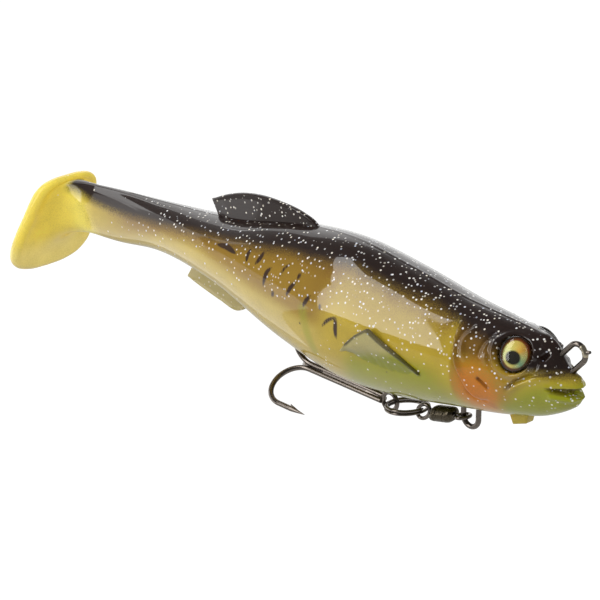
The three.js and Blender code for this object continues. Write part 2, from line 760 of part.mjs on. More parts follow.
function trebleArm(angle) {
  const axis = [hookEyeRadius, hookShank / 2].map((back) => onHook(back, bundleRadius, angle));
  const bendSteps = 10;
  for (let i = 0; i <= bendSteps; i++) {
    const turn = (Math.PI * i) / bendSteps;
    axis.push(onHook(
      hookShank + (hookGape / 2) * Math.sin(turn),
      bundleRadius + (hookGape / 2) * (1 - Math.cos(turn)),
      angle,
    ));
  }
  axis.push(onHook(needleStart, hookReach, angle));
  const curve = new THREE.CatmullRomCurve3(axis, false, 'centripetal');
  const arm = solid(wire(curve, hookWire, 30));
  return arm.add(hookTip(angle)).add(hookBarb(angle));
}

// The needle point: a cone that carries on from the wire and starts a little inside it.
function hookTip(angle) {
  const inside = 0.4;
  const cone = new THREE.CylinderGeometry(needleEnd, hookWire, needleLength + inside, 12);
  const from = onHook(needleStart + inside, hookReach, angle);
  const to = onHook(needleStart - needleLength, hookReach, angle);
  return solid(stretchedBetween(cone, from, to));
}

// The barb: a small spike raised on the inner side of the point.
function hookBarb(angle) {
  const spike = new THREE.CylinderGeometry(barb.end, barb.radius, barb.length, 8);
  const from = onHook(hookShank - barb.back, hookReach - barb.bury, angle);
  const to = onHook(hookShank - barb.back + barb.run, hookReach - barb.bury - barb.rise, angle);
  return solid(stretchedBetween(spike, from, to));
}

function stretchedBetween(geometry, from, to) {
  const direction = to.clone().sub(from);
  const turn = new THREE.Quaternion().setFromUnitVectors(Y, direction.clone().normalize());
  const middle = from.clone().add(to).multiplyScalar(0.5);
  return geometry.clone().applyQuaternion(turn).translate(middle.x, middle.y, middle.z);
}

function trebleHook() {
  const eye = new THREE.TorusGeometry(hookEyeRadius, hookEyeWire, 8, 24).rotateX(Math.PI / 2);
  const core = new THREE.CylinderGeometry(hookWire, hookWire, hookShank - hookEyeRadius, 12);
  core.rotateZ(Math.PI / 2).translate(-(hookShank + hookEyeRadius) / 2, 0, 0);
  return united([
    solid(placed(eye, hookEye[0], 0, hookEye[1], 0)),
    solid(placed(core, hookEye[0], 0, hookEye[1], hookTilt)),
    ...hookArmAngles.map(trebleArm),
  ]);
}

// ---------------------------------------------------------------- assembly

const lure = new THREE.Group();

function piece(name, shape, material) {
  const mesh = new THREE.Mesh(geometryOf(shape), material);
  mesh.name = name;
  lure.add(mesh);
}

const skin = skinSolid();
const clearance = skinSolid(gap);

piece('torso', torso(skin), finish(0x9a8a3c, 0.25, 0));
piece('tail_stem', tailStem(skin), finish(0x8a7434, 0.25, 0));
piece('tail_paddle', tailPaddle(skin), finish(0xe8d94a, 0.4, 0));
piece('dorsal_fin', dorsalFin(clearance), finish(0x1f1b18, 0.25, 0));
piece('anal_fin', analFin(clearance), finish(0xa89a58, 0.35, 0));
for (const [name, side] of [['left', 1], ['right', -1]]) {
  piece(`pectoral_fin_${name}`, pectoralFin(side), finish(0x8f9a34, 0.3, 0));
  piece(`eye_foil_${name}`, eyeFoil(side), finish(0xc9b23c, 0.3, 0.7));
  piece(`eye_dome_${name}`, eyeDome(side), finish(0xf4f4ee, 0.05, 0, 0.3));
}
piece('wire_harness', harness(), finish(0x4a4644, 0.3, 1));
piece('crimp_sleeve', crimpSleeve(), finish(0x8a8a88, 0.4, 1));
piece('keel_weight', keelWeight(), finish(0x6a6c70, 0.6, 0.8));
piece('belly_magnet', magnet(), finish(0xb8babc, 0.3, 1));
const swivelWire = finish(0x3a3836, 0.3, 1);
piece('swivel_front_eye', swivelEye(frontEyeAt, frontEyeRadius, 1, true), swivelWire);
piece('swivel_barrel', swivelBarrel(), finish(0x4a4630, 0.35, 1));
piece('swivel_rear_eye', swivelEye(rearEyeAt, rearEyeRadius, -1, false), swivelWire);
piece('split_ring', splitRing(), finish(0x45403e, 0.28, 1));
piece('treble_hook', trebleHook(), finish(0x4c4644, 0.25, 1));

lure.position.set(tieSetback, 0, -tieHeight);
const group = new THREE.Group();
group.add(lure);

export default group;
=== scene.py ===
"""Paddle-tail swimbait: painted soft body, fins, eyes, line tie, swivel, split ring and treble.

An add-on laid out to be run as a script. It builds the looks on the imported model, which is
loaded first as a fixed frame. Shapes are worked out in millimetres: behind the lips, out from
the middle plane, and up from the body's axis. place() turns them into the frame's metres.
"""

import math

import bpy
import numpy as np
from bpy.props import FloatProperty, FloatVectorProperty, PointerProperty
from mathutils import Matrix, Vector


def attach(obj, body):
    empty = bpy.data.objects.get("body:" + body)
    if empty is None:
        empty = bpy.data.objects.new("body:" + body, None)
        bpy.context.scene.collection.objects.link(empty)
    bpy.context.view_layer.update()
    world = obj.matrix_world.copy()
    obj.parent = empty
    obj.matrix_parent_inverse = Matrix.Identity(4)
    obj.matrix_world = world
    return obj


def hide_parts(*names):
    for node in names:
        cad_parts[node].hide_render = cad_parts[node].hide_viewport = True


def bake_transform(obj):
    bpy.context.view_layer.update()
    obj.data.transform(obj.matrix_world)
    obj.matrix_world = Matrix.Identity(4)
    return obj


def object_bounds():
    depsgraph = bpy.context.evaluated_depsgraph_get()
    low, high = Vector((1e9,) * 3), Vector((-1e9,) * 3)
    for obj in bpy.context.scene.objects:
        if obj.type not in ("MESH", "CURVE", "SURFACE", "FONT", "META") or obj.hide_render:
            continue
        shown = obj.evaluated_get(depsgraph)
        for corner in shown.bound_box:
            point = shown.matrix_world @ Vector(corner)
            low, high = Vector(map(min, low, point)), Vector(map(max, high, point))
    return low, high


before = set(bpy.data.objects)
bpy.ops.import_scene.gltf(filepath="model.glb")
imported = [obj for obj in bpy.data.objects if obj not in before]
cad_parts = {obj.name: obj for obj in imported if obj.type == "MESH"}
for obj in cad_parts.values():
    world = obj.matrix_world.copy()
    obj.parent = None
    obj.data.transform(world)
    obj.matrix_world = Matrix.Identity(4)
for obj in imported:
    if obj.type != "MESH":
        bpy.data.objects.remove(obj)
cad_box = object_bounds()

bl_info = {
    "name": "Paddle-tail Swimbait",
    "version": (1, 0, 0),
    "blender": (4, 5, 0),
    "location": "3D View > Sidebar > Swimbait",
    "description": "Builds a painted soft swimbait with its fins, eyes, swivel and treble hook",
    "category": "Object",
}

MM = 0.001
TIE = (1.6, 8.9)            # centre of the line tie: mm behind the lips, mm above the axis


def linear(hex_colour):
    """An sRGB hex colour as the linear RGBA that shaders take."""
    parts = [int(hex_colour[i:i + 2], 16) / 255 for i in (1, 3, 5)]
    return tuple(c / 12.92 if c <= 0.04045 else ((c + 0.055) / 1.055) ** 2.4 for c in parts) + (1.0,)


# ------------------------------------------------------------------ settings

def colour_setting(name, description, hex_colour):
    return FloatVectorProperty(
        name=name, description=description, default=linear(hex_colour), size=4,
        min=0, max=1, subtype="COLOR")


def level_setting(name, description, default, top=20):
    return FloatProperty(name=name, description=description, default=default, min=0, max=top)


def length_setting(name, description, default, low, high):
    """A length whose default and limits are given in mm."""
    return FloatProperty(name=name, description=description, default=default * MM, min=low * MM,
                         max=high * MM, unit="LENGTH", precision=5)


class SwimbaitPaint(bpy.types.PropertyGroup):
    """Colours sprayed on the body, and the glitter in it."""
    back: colour_setting("Back", "Smoke-black along the back and over the snout", "#241611")
    flank: colour_setting("Front flank", "Gold of the flank behind the head", "#bea330")
    rear: colour_setting("Rear flank", "Brown-gold between the fins and the tail", "#96741a")
    belly: colour_setting("Belly", "Pale straw of the belly", "#c2a94c")
    green: colour_setting("Throat and lips", "Leaf green of the lips and under the side fins", "#90960c")
    cheek: colour_setting("Cheek", "Orange sprayed on the gill cover", "#ce760e")
    tail: colour_setting("Tail", "Lemon yellow of the paddle", "#ffec68")
    glitter_spacing: length_setting("Glitter spacing", "Mean distance between flecks", 0.86, 0.5, 5)
    glitter_size: length_setting("Glitter size", "Radius of the largest flecks", 0.215, 0.05, 0.5)


class SwimbaitHardware(bpy.types.PropertyGroup):
    """Wire sizes and plating of the metal parts."""
    wire: length_setting("Harness wire", "Radius of the line tie's wire", 0.55, 0.3, 1)
    hook_wire: length_setting("Hook wire", "Radius of the treble's wire", 0.55, 0.3, 1)
    plating: colour_setting("Plating", "Black nickel on the hook, ring and swivel eyes", "#7d756e")
    barrel: colour_setting("Barrel", "Dark olive brass of the swivel barrel", "#3e3820")


class SwimbaitStage(bpy.types.PropertyGroup):
    """Light and floor."""
    strip_light: level_setting("Side softbox", "Radiance of the softbox beside the head", 4.0)
    card_light: level_setting("Tail softbox", "Radiance of the large softbox behind the tail", 0.95)
    rim_light: level_setting("Back light", "Radiance of the softbox along the back", 0.9)
    tail_light: level_setting("Tail card", "Radiance of the small card beside the tail stem", 2.6)
    soft_light: level_setting("Soft light", "Level of the even light from all round", 0.82, 2)
    room_light: level_setting("Room", "Brightness of the darker side of the room in reflections", 0.12, 2)
    floor_drop: length_setting("Floor drop", "Height of the lure over the floor", 500, 0, 1000)


# ------------------------------------------------------------------ measuring and moving points

def smooth_line(points, at):
    """Value of a smooth line through (position, value) points, at one or many positions."""
    x, y = np.array(points, float).T
    slope = np.gradient(y, x)
    i = np.clip(np.searchsorted(x, at) - 1, 0, len(x) - 2)
    step = x[i + 1] - x[i]
    t = np.clip((at - x[i]) / step, 0, 1)
    return ((2 * t**3 - 3 * t**2 + 1) * y[i] + (t**3 - 2 * t**2 + t) * step * slope[i]
            + (3 * t**2 - 2 * t**3) * y[i + 1] + (t**3 - t**2) * step * slope[i + 1])


def ease(low, high, value):
    """0 up to low, 1 from high, and smooth between. It falls instead where high is below low."""
    t = np.clip((value - low) / (high - low), 0, 1)
    return t * t * (3 - 2 * t)


def bump(distance, width):
    return np.exp(-(distance / width) ** 2)


def lengths_along(line):
    """How far along a line each of its points is."""
    return np.r_[0, np.cumsum(np.linalg.norm(np.diff(line, axis=0), axis=1))]


def point_along(points, share, smooth=True):
    """The coordinates at a share of the way along a line, smooth or straight between its points."""
    line = np.array(points, float)
    length = lengths_along(line)
    at = share * length[-1]
    if smooth:
        return [smooth_line(list(zip(length, values)), at) for values in line.T]
    return [np.interp(at, length, values) for values in line.T]


# Body lines: mm behind the lips, then height of the back and belly or half width.
BACK = [(0, 4.3), (1.2, 4.7), (2.4, 5.1), (3.6, 5.9), (4.8, 7.3), (5.8, 8.8), (6.8, 9.8), (8.2, 10.4),
        (11.2, 10.8), (14.9, 11.2), (20, 11.7), (27.9, 12.5), (42.8, 15.2), (57.8, 17.2), (72.7, 16.3),
        (92.6, 12.6), (112.6, 11.1), (127.5, 10.3), (139.5, 9.3)]
BELLY = [(0, -0.6), (2.8, -2.6), (7.0, -4.8), (14.9, -7.0), (27.9, -9.1), (42.8, -11.4),
         (57.8, -11.9), (72.7, -8.7), (92.6, -1.9), (112.6, 0.3), (127.5, -1.3), (139.5, -1.7)]
WIDTH = [(0, 0.9), (1.2, 1.8), (2.8, 2.85), (4.4, 3.7), (6.3, 4.5), (14.9, 6.93), (27.9, 9.35), (42.8, 10.78),
         (57.8, 11.0), (72.7, 10.01), (92.6, 7.81), (112.6, 4.62), (127.5, 2.75), (139.5, 1.87)]


def flank(behind, up):
    """Half width of the body at a height."""
    back, belly = smooth_line(BACK, behind), smooth_line(BELLY, behind)
    share = np.clip((up - (back + belly) / 2) * 2 / (back - belly), -1, 1)
    return smooth_line(WIDTH, behind) * np.sqrt(1 - share**2)


def place(points):
    """Points in mm (behind, side, up) as points of the frame, in metres."""
    behind, side, up = np.array(points, float).T
    return np.stack([TIE[0] - behind, side, up - TIE[1]], axis=1) * MM


def measure(piece):
    """A piece's points in mm: behind, side, up."""
    x, y, z = (points_of(piece) / MM).T
    return TIE[0] - x, y, z + TIE[1]


def points_of(piece, what="co"):
    flat = np.zeros(len(piece.data.vertices) * 3, np.float32)
    piece.data.vertices.foreach_get(what, flat)
    return flat.reshape(-1, 3).astype(float)


def move_points(piece, points):
    piece.data.vertices.foreach_set("co", np.asarray(points, np.float32).ravel())
    piece.data.update()


def near_line(points, line, reach):
    """Distance in mm to a line of (behind, side, up) points, which side of it a point is seen
    from the flank (positive towards the tail of a line drawn downwards) and the share along it.
    Points further off than reach get a large distance."""
    behind, side, up = points
    stops = np.array(line, float)
    along = lengths_along(stops)
    if len(stops) > 2:
        fine = np.linspace(0, along[-1], 8 * len(stops))
        stops = np.stack([smooth_line(list(zip(along, stops[:, k])), fine) for k in range(3)], axis=1)
        along = fine
    here = np.stack([behind, np.abs(side), up], axis=1)
    near = np.all((here > stops.min(0) - reach) & (here < stops.max(0) + reach), axis=1)
    best, turn, share = np.full(len(here), 1e3), np.zeros(len(here)), np.zeros(len(here))
    p = here[near]
    d, s, a = np.full(len(p), 1e3), np.zeros(len(p)), np.zeros(len(p))
    for i in range(len(stops) - 1):
        run = stops[i + 1] - stops[i]
        t = np.clip(((p - stops[i]) @ run) / (run @ run), 0, 1)
        off = p - stops[i] - t[:, None] * run
        distance = np.linalg.norm(off, axis=1)
        closer = distance < d
        d[closer] = distance[closer]
        s[closer] = (run[0] * off[:, 2] - run[2] * off[:, 0])[closer]
        a[closer] = (along[i] + t * (along[i + 1] - along[i]))[closer] / along[-1]
    best[near], turn[near], share[near] = d, np.sign(s), a
    return best, turn, share


# ------------------------------------------------------------------ modelling by hand

def clear_selection():
    if bpy.context.object and bpy.context.object.mode != "OBJECT":
        bpy.ops.object.mode_set(mode="OBJECT")
    bpy.ops.object.select_all(action="DESELECT")


def select(*pieces):
    clear_selection()
    for piece in pieces:
        piece.select_set(True)
    bpy.context.view_layer.objects.active = pieces[0]


def edit_all(piece, *steps):
    """Takes edit-mode steps on the whole of a piece."""
    select(piece)
    bpy.ops.object.mode_set(mode="EDIT")
    bpy.ops.mesh.select_all(action="SELECT")
    for step in steps:
        step()
    bpy.ops.object.mode_set(mode="OBJECT")


def apply_modifier(piece, kind, **settings):
    modifier = piece.modifiers.new(kind.title(), kind)
    for key, value in settings.items():
        setattr(modifier, key, value)
    select(piece)
    bpy.ops.object.modifier_apply(modifier=modifier.name)


def sphere_to(name, rings, sides, shape):
    """A sphere whose rings and turns are moved to shape(ring, turn): a closed lofted form.
    Ring 0 is its first pole and ring `rings` its last. Turn 0 is the top."""
    clear_selection()
    bpy.ops.mesh.primitive_uv_sphere_add(segments=sides, ring_count=rings, radius=1)
    piece = bpy.context.object
    piece.name = name
    x, y, z = points_of(piece).T
    ring = np.rint(np.arccos(np.clip(z, -1, 1)) / math.pi * rings)
    move_points(piece, place(np.stack(shape(ring.astype(int), np.arctan2(y, x)), axis=1)))
    face_out(piece)
    return piece


def cube_to(name, cuts, shape):
    """A cube cut into a lattice and moved to shape(x, y, z), each from -1 to 1."""
    clear_selection()
    bpy.ops.mesh.primitive_cube_add(size=2)
    piece = bpy.context.object
    piece.name = name
    edit_all(piece, lambda: bpy.ops.mesh.subdivide(number_cuts=cuts))
    move_points(piece, place(np.stack(shape(*points_of(piece).T), axis=1)))
    face_out(piece)
    return piece


def wire_to(name, points, radius, taper=None, closed=False, sides=7):
    """A round wire along points in mm. taper holds a share of the radius for each point."""
    clear_selection()
    bpy.ops.curve.primitive_nurbs_path_add()
    piece = bpy.context.object
    piece.name = name
    curve = piece.data
    curve.splines.clear()
    spline = curve.splines.new("POLY")
    spline.points.add(len(points) - 1)
    for i, (point, co) in enumerate(zip(spline.points, place(points))):
        point.co = (*co, 1)
        point.radius = taper[i] if taper is not None else 1
    spline.use_cyclic_u = closed
    curve.dimensions, curve.twist_mode = "3D", "MINIMUM"
    curve.bevel_depth, curve.bevel_resolution, curve.use_fill_caps = radius, sides, True
    bpy.ops.object.convert(target="MESH")
    return bpy.context.object


def join(name, *pieces):
    select(*pieces)
    bpy.ops.object.join()
    pieces[0].name = name
    return pieces[0]


def face_out(piece):
    """Merges doubles and turns every face outwards."""
    edit_all(piece, lambda: bpy.ops.mesh.remove_doubles(threshold=1e-7),
             lambda: bpy.ops.mesh.normals_make_consistent(inside=False))


def finish_piece(piece, material, slot, *nodes, angle=40):
    """Smooth shading, one material, and hides the nodes that it stands for. The slot argument is not used."""
    select(piece)
    bpy.ops.object.transform_apply(location=True, rotation=True, scale=True)
    bpy.ops.object.shade_smooth_by_angle(angle=math.radians(angle))
    piece.data.materials.clear()
    piece.data.materials.append(material)
    if nodes:
        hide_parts(*nodes)
    return piece


def paint(piece, **masks):
    """Stores a number for each point, which the material reads by name."""
    for name, values in masks.items():
        attribute = piece.data.attributes.new(name, "FLOAT", "POINT")
        attribute.data.foreach_set("value", np.asarray(values, np.float32))


def add(tree, kind, inputs=None, stops=None, out=0, **settings):
    """Adds a node with its settings, socket values or links, and colour stops. Gives the output
    that is asked for, or all of them where out is None."""
    node = tree.nodes.new(f"ShaderNode{kind}")
    for key, value in settings.items():
        setattr(node, key, value)
    for key, value in (inputs or {}).items():
        if isinstance(value, bpy.types.NodeSocket):
            tree.links.new(value, node.inputs[key])
        else:
            node.inputs[key].default_value = value
    if stops:
        ramp = node.color_ramp.elements
        while len(ramp) < len(stops):
            ramp.new(0.5)
        for element, (position, hex_colour) in zip(ramp, stops):
            element.position, element.color = position, linear(hex_colour)
    return node.outputs if out is None or not node.outputs else node.outputs[out]


def new_material(name):
    material = bpy.data.materials.new(name)
    material.use_nodes = True
    material.node_tree.nodes.clear()
    return material, material.node_tree


# ------------------------------------------------------------------ finishes

def painted_plastisol(name, layers, base, gloss=1.0, softness=0.06):
    """Plastisol (soft PVC), cast in a mould, then sprayed and dipped in clear. The pigment is
    misty and a little see-through, flecks of glitter sit at many depths, and the clear gives it
    a wet gloss with sharp reflections.

    layers are (mask attribute, colour, how ragged its edge is, how sharp), sprayed in that order."""
    settings = bpy.context.scene.swimbait_paint
    material, tree = new_material(name)
    here = add(tree, "TexCoord", out="Object")
    # Spray is uneven over 4 mm patches, and each droplet is 0.25 mm.
    cloud = add(tree, "TexNoise", {"Vector": here, "Scale": 1 / (4 * MM), "Detail": 3.0})
    mist = add(tree, "TexNoise", {"Vector": here, "Scale": 1 / (0.25 * MM), "Detail": 1.0})
    uneven = add(tree, "Math", {0: cloud, 1: 0.5}, operation="SUBTRACT")
    grain = add(tree, "Math", {0: mist, 1: 0.5}, operation="SUBTRACT")
    colour = base
    for mask, tint, ragged, sharp in layers:
        amount = add(tree, "Attribute", attribute_name=mask, out="Fac")
        amount = add(tree, "Math", {0: amount, 1: sharp, 2: 0.5 - 0.5 * sharp}, operation="MULTIPLY_ADD",
                     use_clamp=True)
        # A sprayed edge breaks up into droplets: noise counts most where the mask is half.
        edge = add(tree, "Math", {0: amount, 1: -0.5}, operation="ADD")
        edge = add(tree, "Math", {0: edge, 1: edge}, operation="MULTIPLY")
        edge = add(tree, "Math", {0: edge, 1: -4.0, 2: 1.0}, operation="MULTIPLY_ADD")
        stray = add(tree, "Math", {0: grain, 1: ragged}, operation="MULTIPLY")
        stray = add(tree, "Math", {0: uneven, 1: ragged * 0.5, 2: stray}, operation="MULTIPLY_ADD")
        amount = add(tree, "Math", {0: stray, 1: edge, 2: amount}, operation="MULTIPLY_ADD", use_clamp=True)
        colour = add(tree, "Mix", {0: amount, 6: colour, 7: tint}, data_type="RGBA", out=2)
    shade = add(tree, "Math", {0: grain, 1: 0.35, 2: 1.0}, operation="MULTIPLY_ADD")
    shade = add(tree, "Math", {0: uneven, 1: 0.3, 2: shade}, operation="MULTIPLY_ADD")
    colour = add(tree, "VectorMath", {0: colour, "Scale": shade}, operation="SCALE")
    # Polyester glitter: each fleck is where the surface cuts a small ball of a random cell.
    cells = add(tree, "TexVoronoi", {"Vector": here, "Scale": 1 / settings.glitter_spacing},
                voronoi_dimensions="3D", feature="F1", out=None)
    radius = settings.glitter_size / settings.glitter_spacing
    fleck = add(tree, "MapRange", {"Value": cells["Distance"], "From Min": radius * 1.15,
                                   "From Max": radius * 0.8, "To Min": 0.0, "To Max": 1.0}, out="Result")
    pick = add(tree, "SeparateColor", {"Color": cells["Color"]}, out=None)
    rich = add(tree, "Attribute", attribute_name="glitter", out="Fac")
    bright = add(tree, "MapRange", {"Value": pick[0], "To Min": 0.4, "To Max": 1.0}, out="Result")
    kept = add(tree, "Math", {0: pick[2], 1: rich}, operation="LESS_THAN")
    fleck = add(tree, "Math", {0: fleck, 1: bright}, operation="MULTIPLY")
    fleck = add(tree, "Math", {0: fleck, 1: kept}, operation="MULTIPLY", use_clamp=True)
    silver = add(tree, "ValToRGB", {0: pick[1]},
                 stops=[(0.0, "#ffffff"), (0.6, "#fff6e4"), (1.0, "#dfe9ff")])
    colour = add(tree, "Mix", {0: fleck, 6: colour, 7: silver}, data_type="RGBA", out=2)
    height = add(tree, "Bump", {"Strength": 0.25, "Distance": 0.06 * MM, "Height": cloud})
    plastic = add(tree, "BsdfPrincipled", {
        "Base Color": colour, "Roughness": 0.42, "IOR": 1.5, "Specular IOR Level": 0.12, "Normal": height,
        "Subsurface Weight": softness, "Subsurface Radius": (1.0, 0.75, 0.35), "Subsurface Scale": 1.5 * MM,
        "Coat Weight": gloss, "Coat Roughness": 0.035, "Coat IOR": 1.5})
    # Where the plastic is thin, some light comes through it.
    thin = add(tree, "Attribute", attribute_name="thin", out="Fac")
    through = add(tree, "BsdfTranslucent", {"Color": colour})
    surface = add(tree, "MixShader", {0: thin, 1: plastic, 2: through})
    add(tree, "OutputMaterial", {"Surface": surface})
    return material


def black_nickel(name, colour, roughness=0.2):
    """Black nickel electroplated on drawn carbon steel wire, or on brass: a dark warm mirror with
    faint drawing lines and handling scuffs of about 0.3 mm."""
    material, tree = new_material(name)
    here = add(tree, "TexCoord", out="Object")
    scuff = add(tree, "TexNoise", {"Vector": here, "Scale": 1 / (0.3 * MM), "Detail": 4.0})
    worn = add(tree, "ValToRGB", {0: scuff}, stops=[(0.35, "#463f3a"), (0.65, "#7d746c")])
    tint = add(tree, "Mix", {0: 0.6, 6: worn, 7: colour}, data_type="RGBA", out=2)
    rough = add(tree, "MapRange", {"Value": scuff, "To Min": roughness * 0.7, "To Max": roughness * 1.5},
                out="Result")
    lines = add(tree, "Bump", {"Strength": 0.15, "Distance": 0.02 * MM, "Height": scuff})
    metal = add(tree, "BsdfPrincipled", {
        "Base Color": tint, "Metallic": 1.0, "Roughness": rough, "Normal": lines})
    add(tree, "OutputMaterial", {"Surface": metal})
    return material


def cast_metal(name, low, high, roughness, grain):
    """Plain metal whose colour and roughness vary over a grain given in metres: cast lead,
    rolled aluminium or a plated magnet."""
    material, tree = new_material(name)
    here = add(tree, "TexCoord", out="Object")
    spots = add(tree, "TexNoise", {"Vector": here, "Scale": 1 / grain, "Detail": 5.0})
    tint = add(tree, "ValToRGB", {0: spots}, stops=[(0.3, low), (0.7, high)])
    rough = add(tree, "MapRange", {"Value": spots, "To Min": roughness * 0.8, "To Max": roughness * 1.3},
                out="Result")
    pits = add(tree, "Bump", {"Strength": 0.3, "Distance": grain * 0.1, "Height": spots})
    metal = add(tree, "BsdfPrincipled", {
        "Base Color": tint, "Metallic": 1.0, "Roughness": rough, "Normal": pits})
    add(tree, "OutputMaterial", {"Surface": metal})
    return material


def hologram_foil(name):
    """Diffraction foil printed with a pupil and a brown rim: a gold-green iris whose tint
    changes round the eye. The attribute ring is the distance from its centre in mm."""
    material, tree = new_material(name)
    ring = add(tree, "Attribute", attribute_name="ring", out="Fac")
    pupil = add(tree, "Attribute", attribute_name="pupil", out="Fac")
    sweep = add(tree, "Attribute", attribute_name="sweep", out="Fac")
    iris = add(tree, "ValToRGB", {0: sweep}, stops=[
        (0.0, "#d3dc9a"), (0.2, "#e6d67a"), (0.4, "#f4c05a"), (0.52, "#dbe6a4"), (0.62, "#93c9b2"),
        (0.75, "#e2d580"), (1.0, "#d3dc9a")])
    share = add(tree, "Math", {0: ring, 1: 4.0}, operation="DIVIDE")
    rim = add(tree, "ValToRGB", {0: share}, stops=[
        (0.0, "#ffffff"), (0.62, "#ffffff"), (0.67, "#a8652c"), (0.77, "#6a3818"), (0.86, "#2a1710"),
        (1.0, "#120c0a")])
    tint = add(tree, "Mix", {0: 1.0, 6: iris, 7: rim}, data_type="RGBA", blend_type="MULTIPLY", out=2)
    dark = add(tree, "MapRange", {"Value": pupil, "From Min": 0.12, "From Max": -0.12}, out="Result")
    tint = add(tree, "Mix", {0: dark, 6: tint, 7: linear("#232122")}, data_type="RGBA", out=2)
    shine = add(tree, "MapRange", {"Value": ring, "From Min": 2.5, "From Max": 2.75, "To Min": 0.4,
                                   "To Max": 0.0}, out="Result")
    foil = add(tree, "BsdfPrincipled", {
        "Base Color": tint, "Metallic": shine, "Roughness": 0.36, "Specular IOR Level": 0.1})
    add(tree, "OutputMaterial", {"Surface": foil})
    return material


def cast_epoxy(name):
    """Clear epoxy cast in a dome over the foil: a sharp highlight and a slightly magnified eye."""
    material, tree = new_material(name)
    here = add(tree, "TexCoord", out="Object")
    haze = add(tree, "TexNoise", {"Vector": here, "Scale": 1 / (1.5 * MM)})
    rough = add(tree, "MapRange", {"Value": haze, "To Min": 0.01, "To Max": 0.04}, out="Result")
    gloss = add(tree, "BsdfGlossy", {"Color": (1, 1, 1, 1), "Roughness": rough})
    clear = add(tree, "BsdfTransparent", {"Color": linear("#fbfaf2")})
    mirror = add(tree, "Fresnel", {"IOR": 1.5})
    surface = add(tree, "MixShader", {0: mirror, 1: clear, 2: gloss})
    add(tree, "OutputMaterial", {"Surface": surface})
    return material


# ------------------------------------------------------------------ soft body

SEAM = 123.6        # where the fore and rear skins meet, mm behind the lips
CAP = 1.5           # depth of the rounded nose, and how far it starts ahead of the lips
LEAD = 0.2


def skin_rings():
    """Where the fore skin's rings are: crowded on the rounded nose and along the head."""
    nose = [CAP * (1 - math.cos(math.radians(90 * k / 14))) - LEAD for k in range(15)]
    rings, at = nose, nose[-1]
    while at < SEAM - 0.3:
        at += 0.21 + 0.34 * float(ease(22, 34, at))
        rings.append(min(at, SEAM))
    rings[-1] = SEAM
    return np.array(rings + [SEAM])


def body_section(behind, turn, shrink):
    """Points of the body's section at a station, shrunk towards its middle."""
    back, belly, half = (smooth_line(line, np.maximum(behind, 0)) for line in (BACK, BELLY, WIDTH))
    ridge = 0.6 * ease(1.0, 4.0, behind) * ease(13, 6.5, behind)     # the snout narrows upwards
    half = half * (1 - ridge * np.clip(np.cos(turn), 0, 1) ** 1.5)
    return (behind, shrink * half * np.sin(turn),
            (back + belly) / 2 + shrink * (back - belly) / 2 * np.cos(turn))


# Lines of the head: mm behind the lips, out and up.
MOUTH = [(1.2, 1.7, 1.5), (3.2, 3.0, 1.7), (5.2, 4.0, 1.9)]
JAW_CREASE = [(2.0, 1.0, 5.0), (4.5, 3.0, 4.8), (7.0, 4.5, 4.4), (8.9, 5.3, 3.7), (10.9, 5.9, 2.5),
              (12.5, 6.3, 1.0), (13.8, 6.4, -0.4)]
GILL_EDGE = [(25.3, 4.9, 10.4), (25.1, 7.1, 8.0), (24.8, 7.8, 6.6), (24.4, 8.4, 4.8), (23.6, 8.7, 2.5),
             (22.3, 8.4, 0.3), (20.9, 7.5, -2.2), (19.6, 6.7, -3.4), (17.6, 5.6, -4.6)]
COVER_ARC = [(21.0, 4.6, 9.9), (22.2, 6.0, 8.8), (22.8, 7.0, 7.6), (22.7, 7.7, 6.2), (22.0, 8.0, 4.8),
             (21.1, 8.0, 3.9)]
CHEEK_ARC = [(16.7, 4.2, 9.5), (17.9, 5.6, 8.3), (18.5, 6.6, 6.8), (18.7, 7.2, 5.3), (19.3, 7.5, 4.3)]
CHEEK_PLATE = [(16.4, 4.0, 9.6), (17.2, 5.4, 8.2), (17.5, 6.2, 6.8), (17.6, 6.9, 5.4), (17.4, 7.3, 3.9)]
CHEEK_SLIT = [(19.2, 7.8, 1.5), (17.8, 7.5, 0.6), (16.5, 7.1, -0.6)]
THROAT_ARC = [(21.8, 7.9, -1.6), (20.4, 7.0, -3.2), (18.3, 6.5, -3.6), (16.8, 6.4, -3.2)]
NOSTRIL, NOSTRIL_RIM = [(6.9, 2.2, 7.9), (7.3, 2.9, 7.2)], [(8.2, 2.8, 8.6), (8.5, 3.7, 7.2)]
SNOUT_BUMPS = [((7.2, 3.8, 5.9), 0.32), ((8.6, 4.5, 5.6), 0.34), ((5.8, 3.2, 5.9), 0.3),
               ((4.6, 2.3, 6.2), 0.3)]
EYE = (12.6, 7.2)


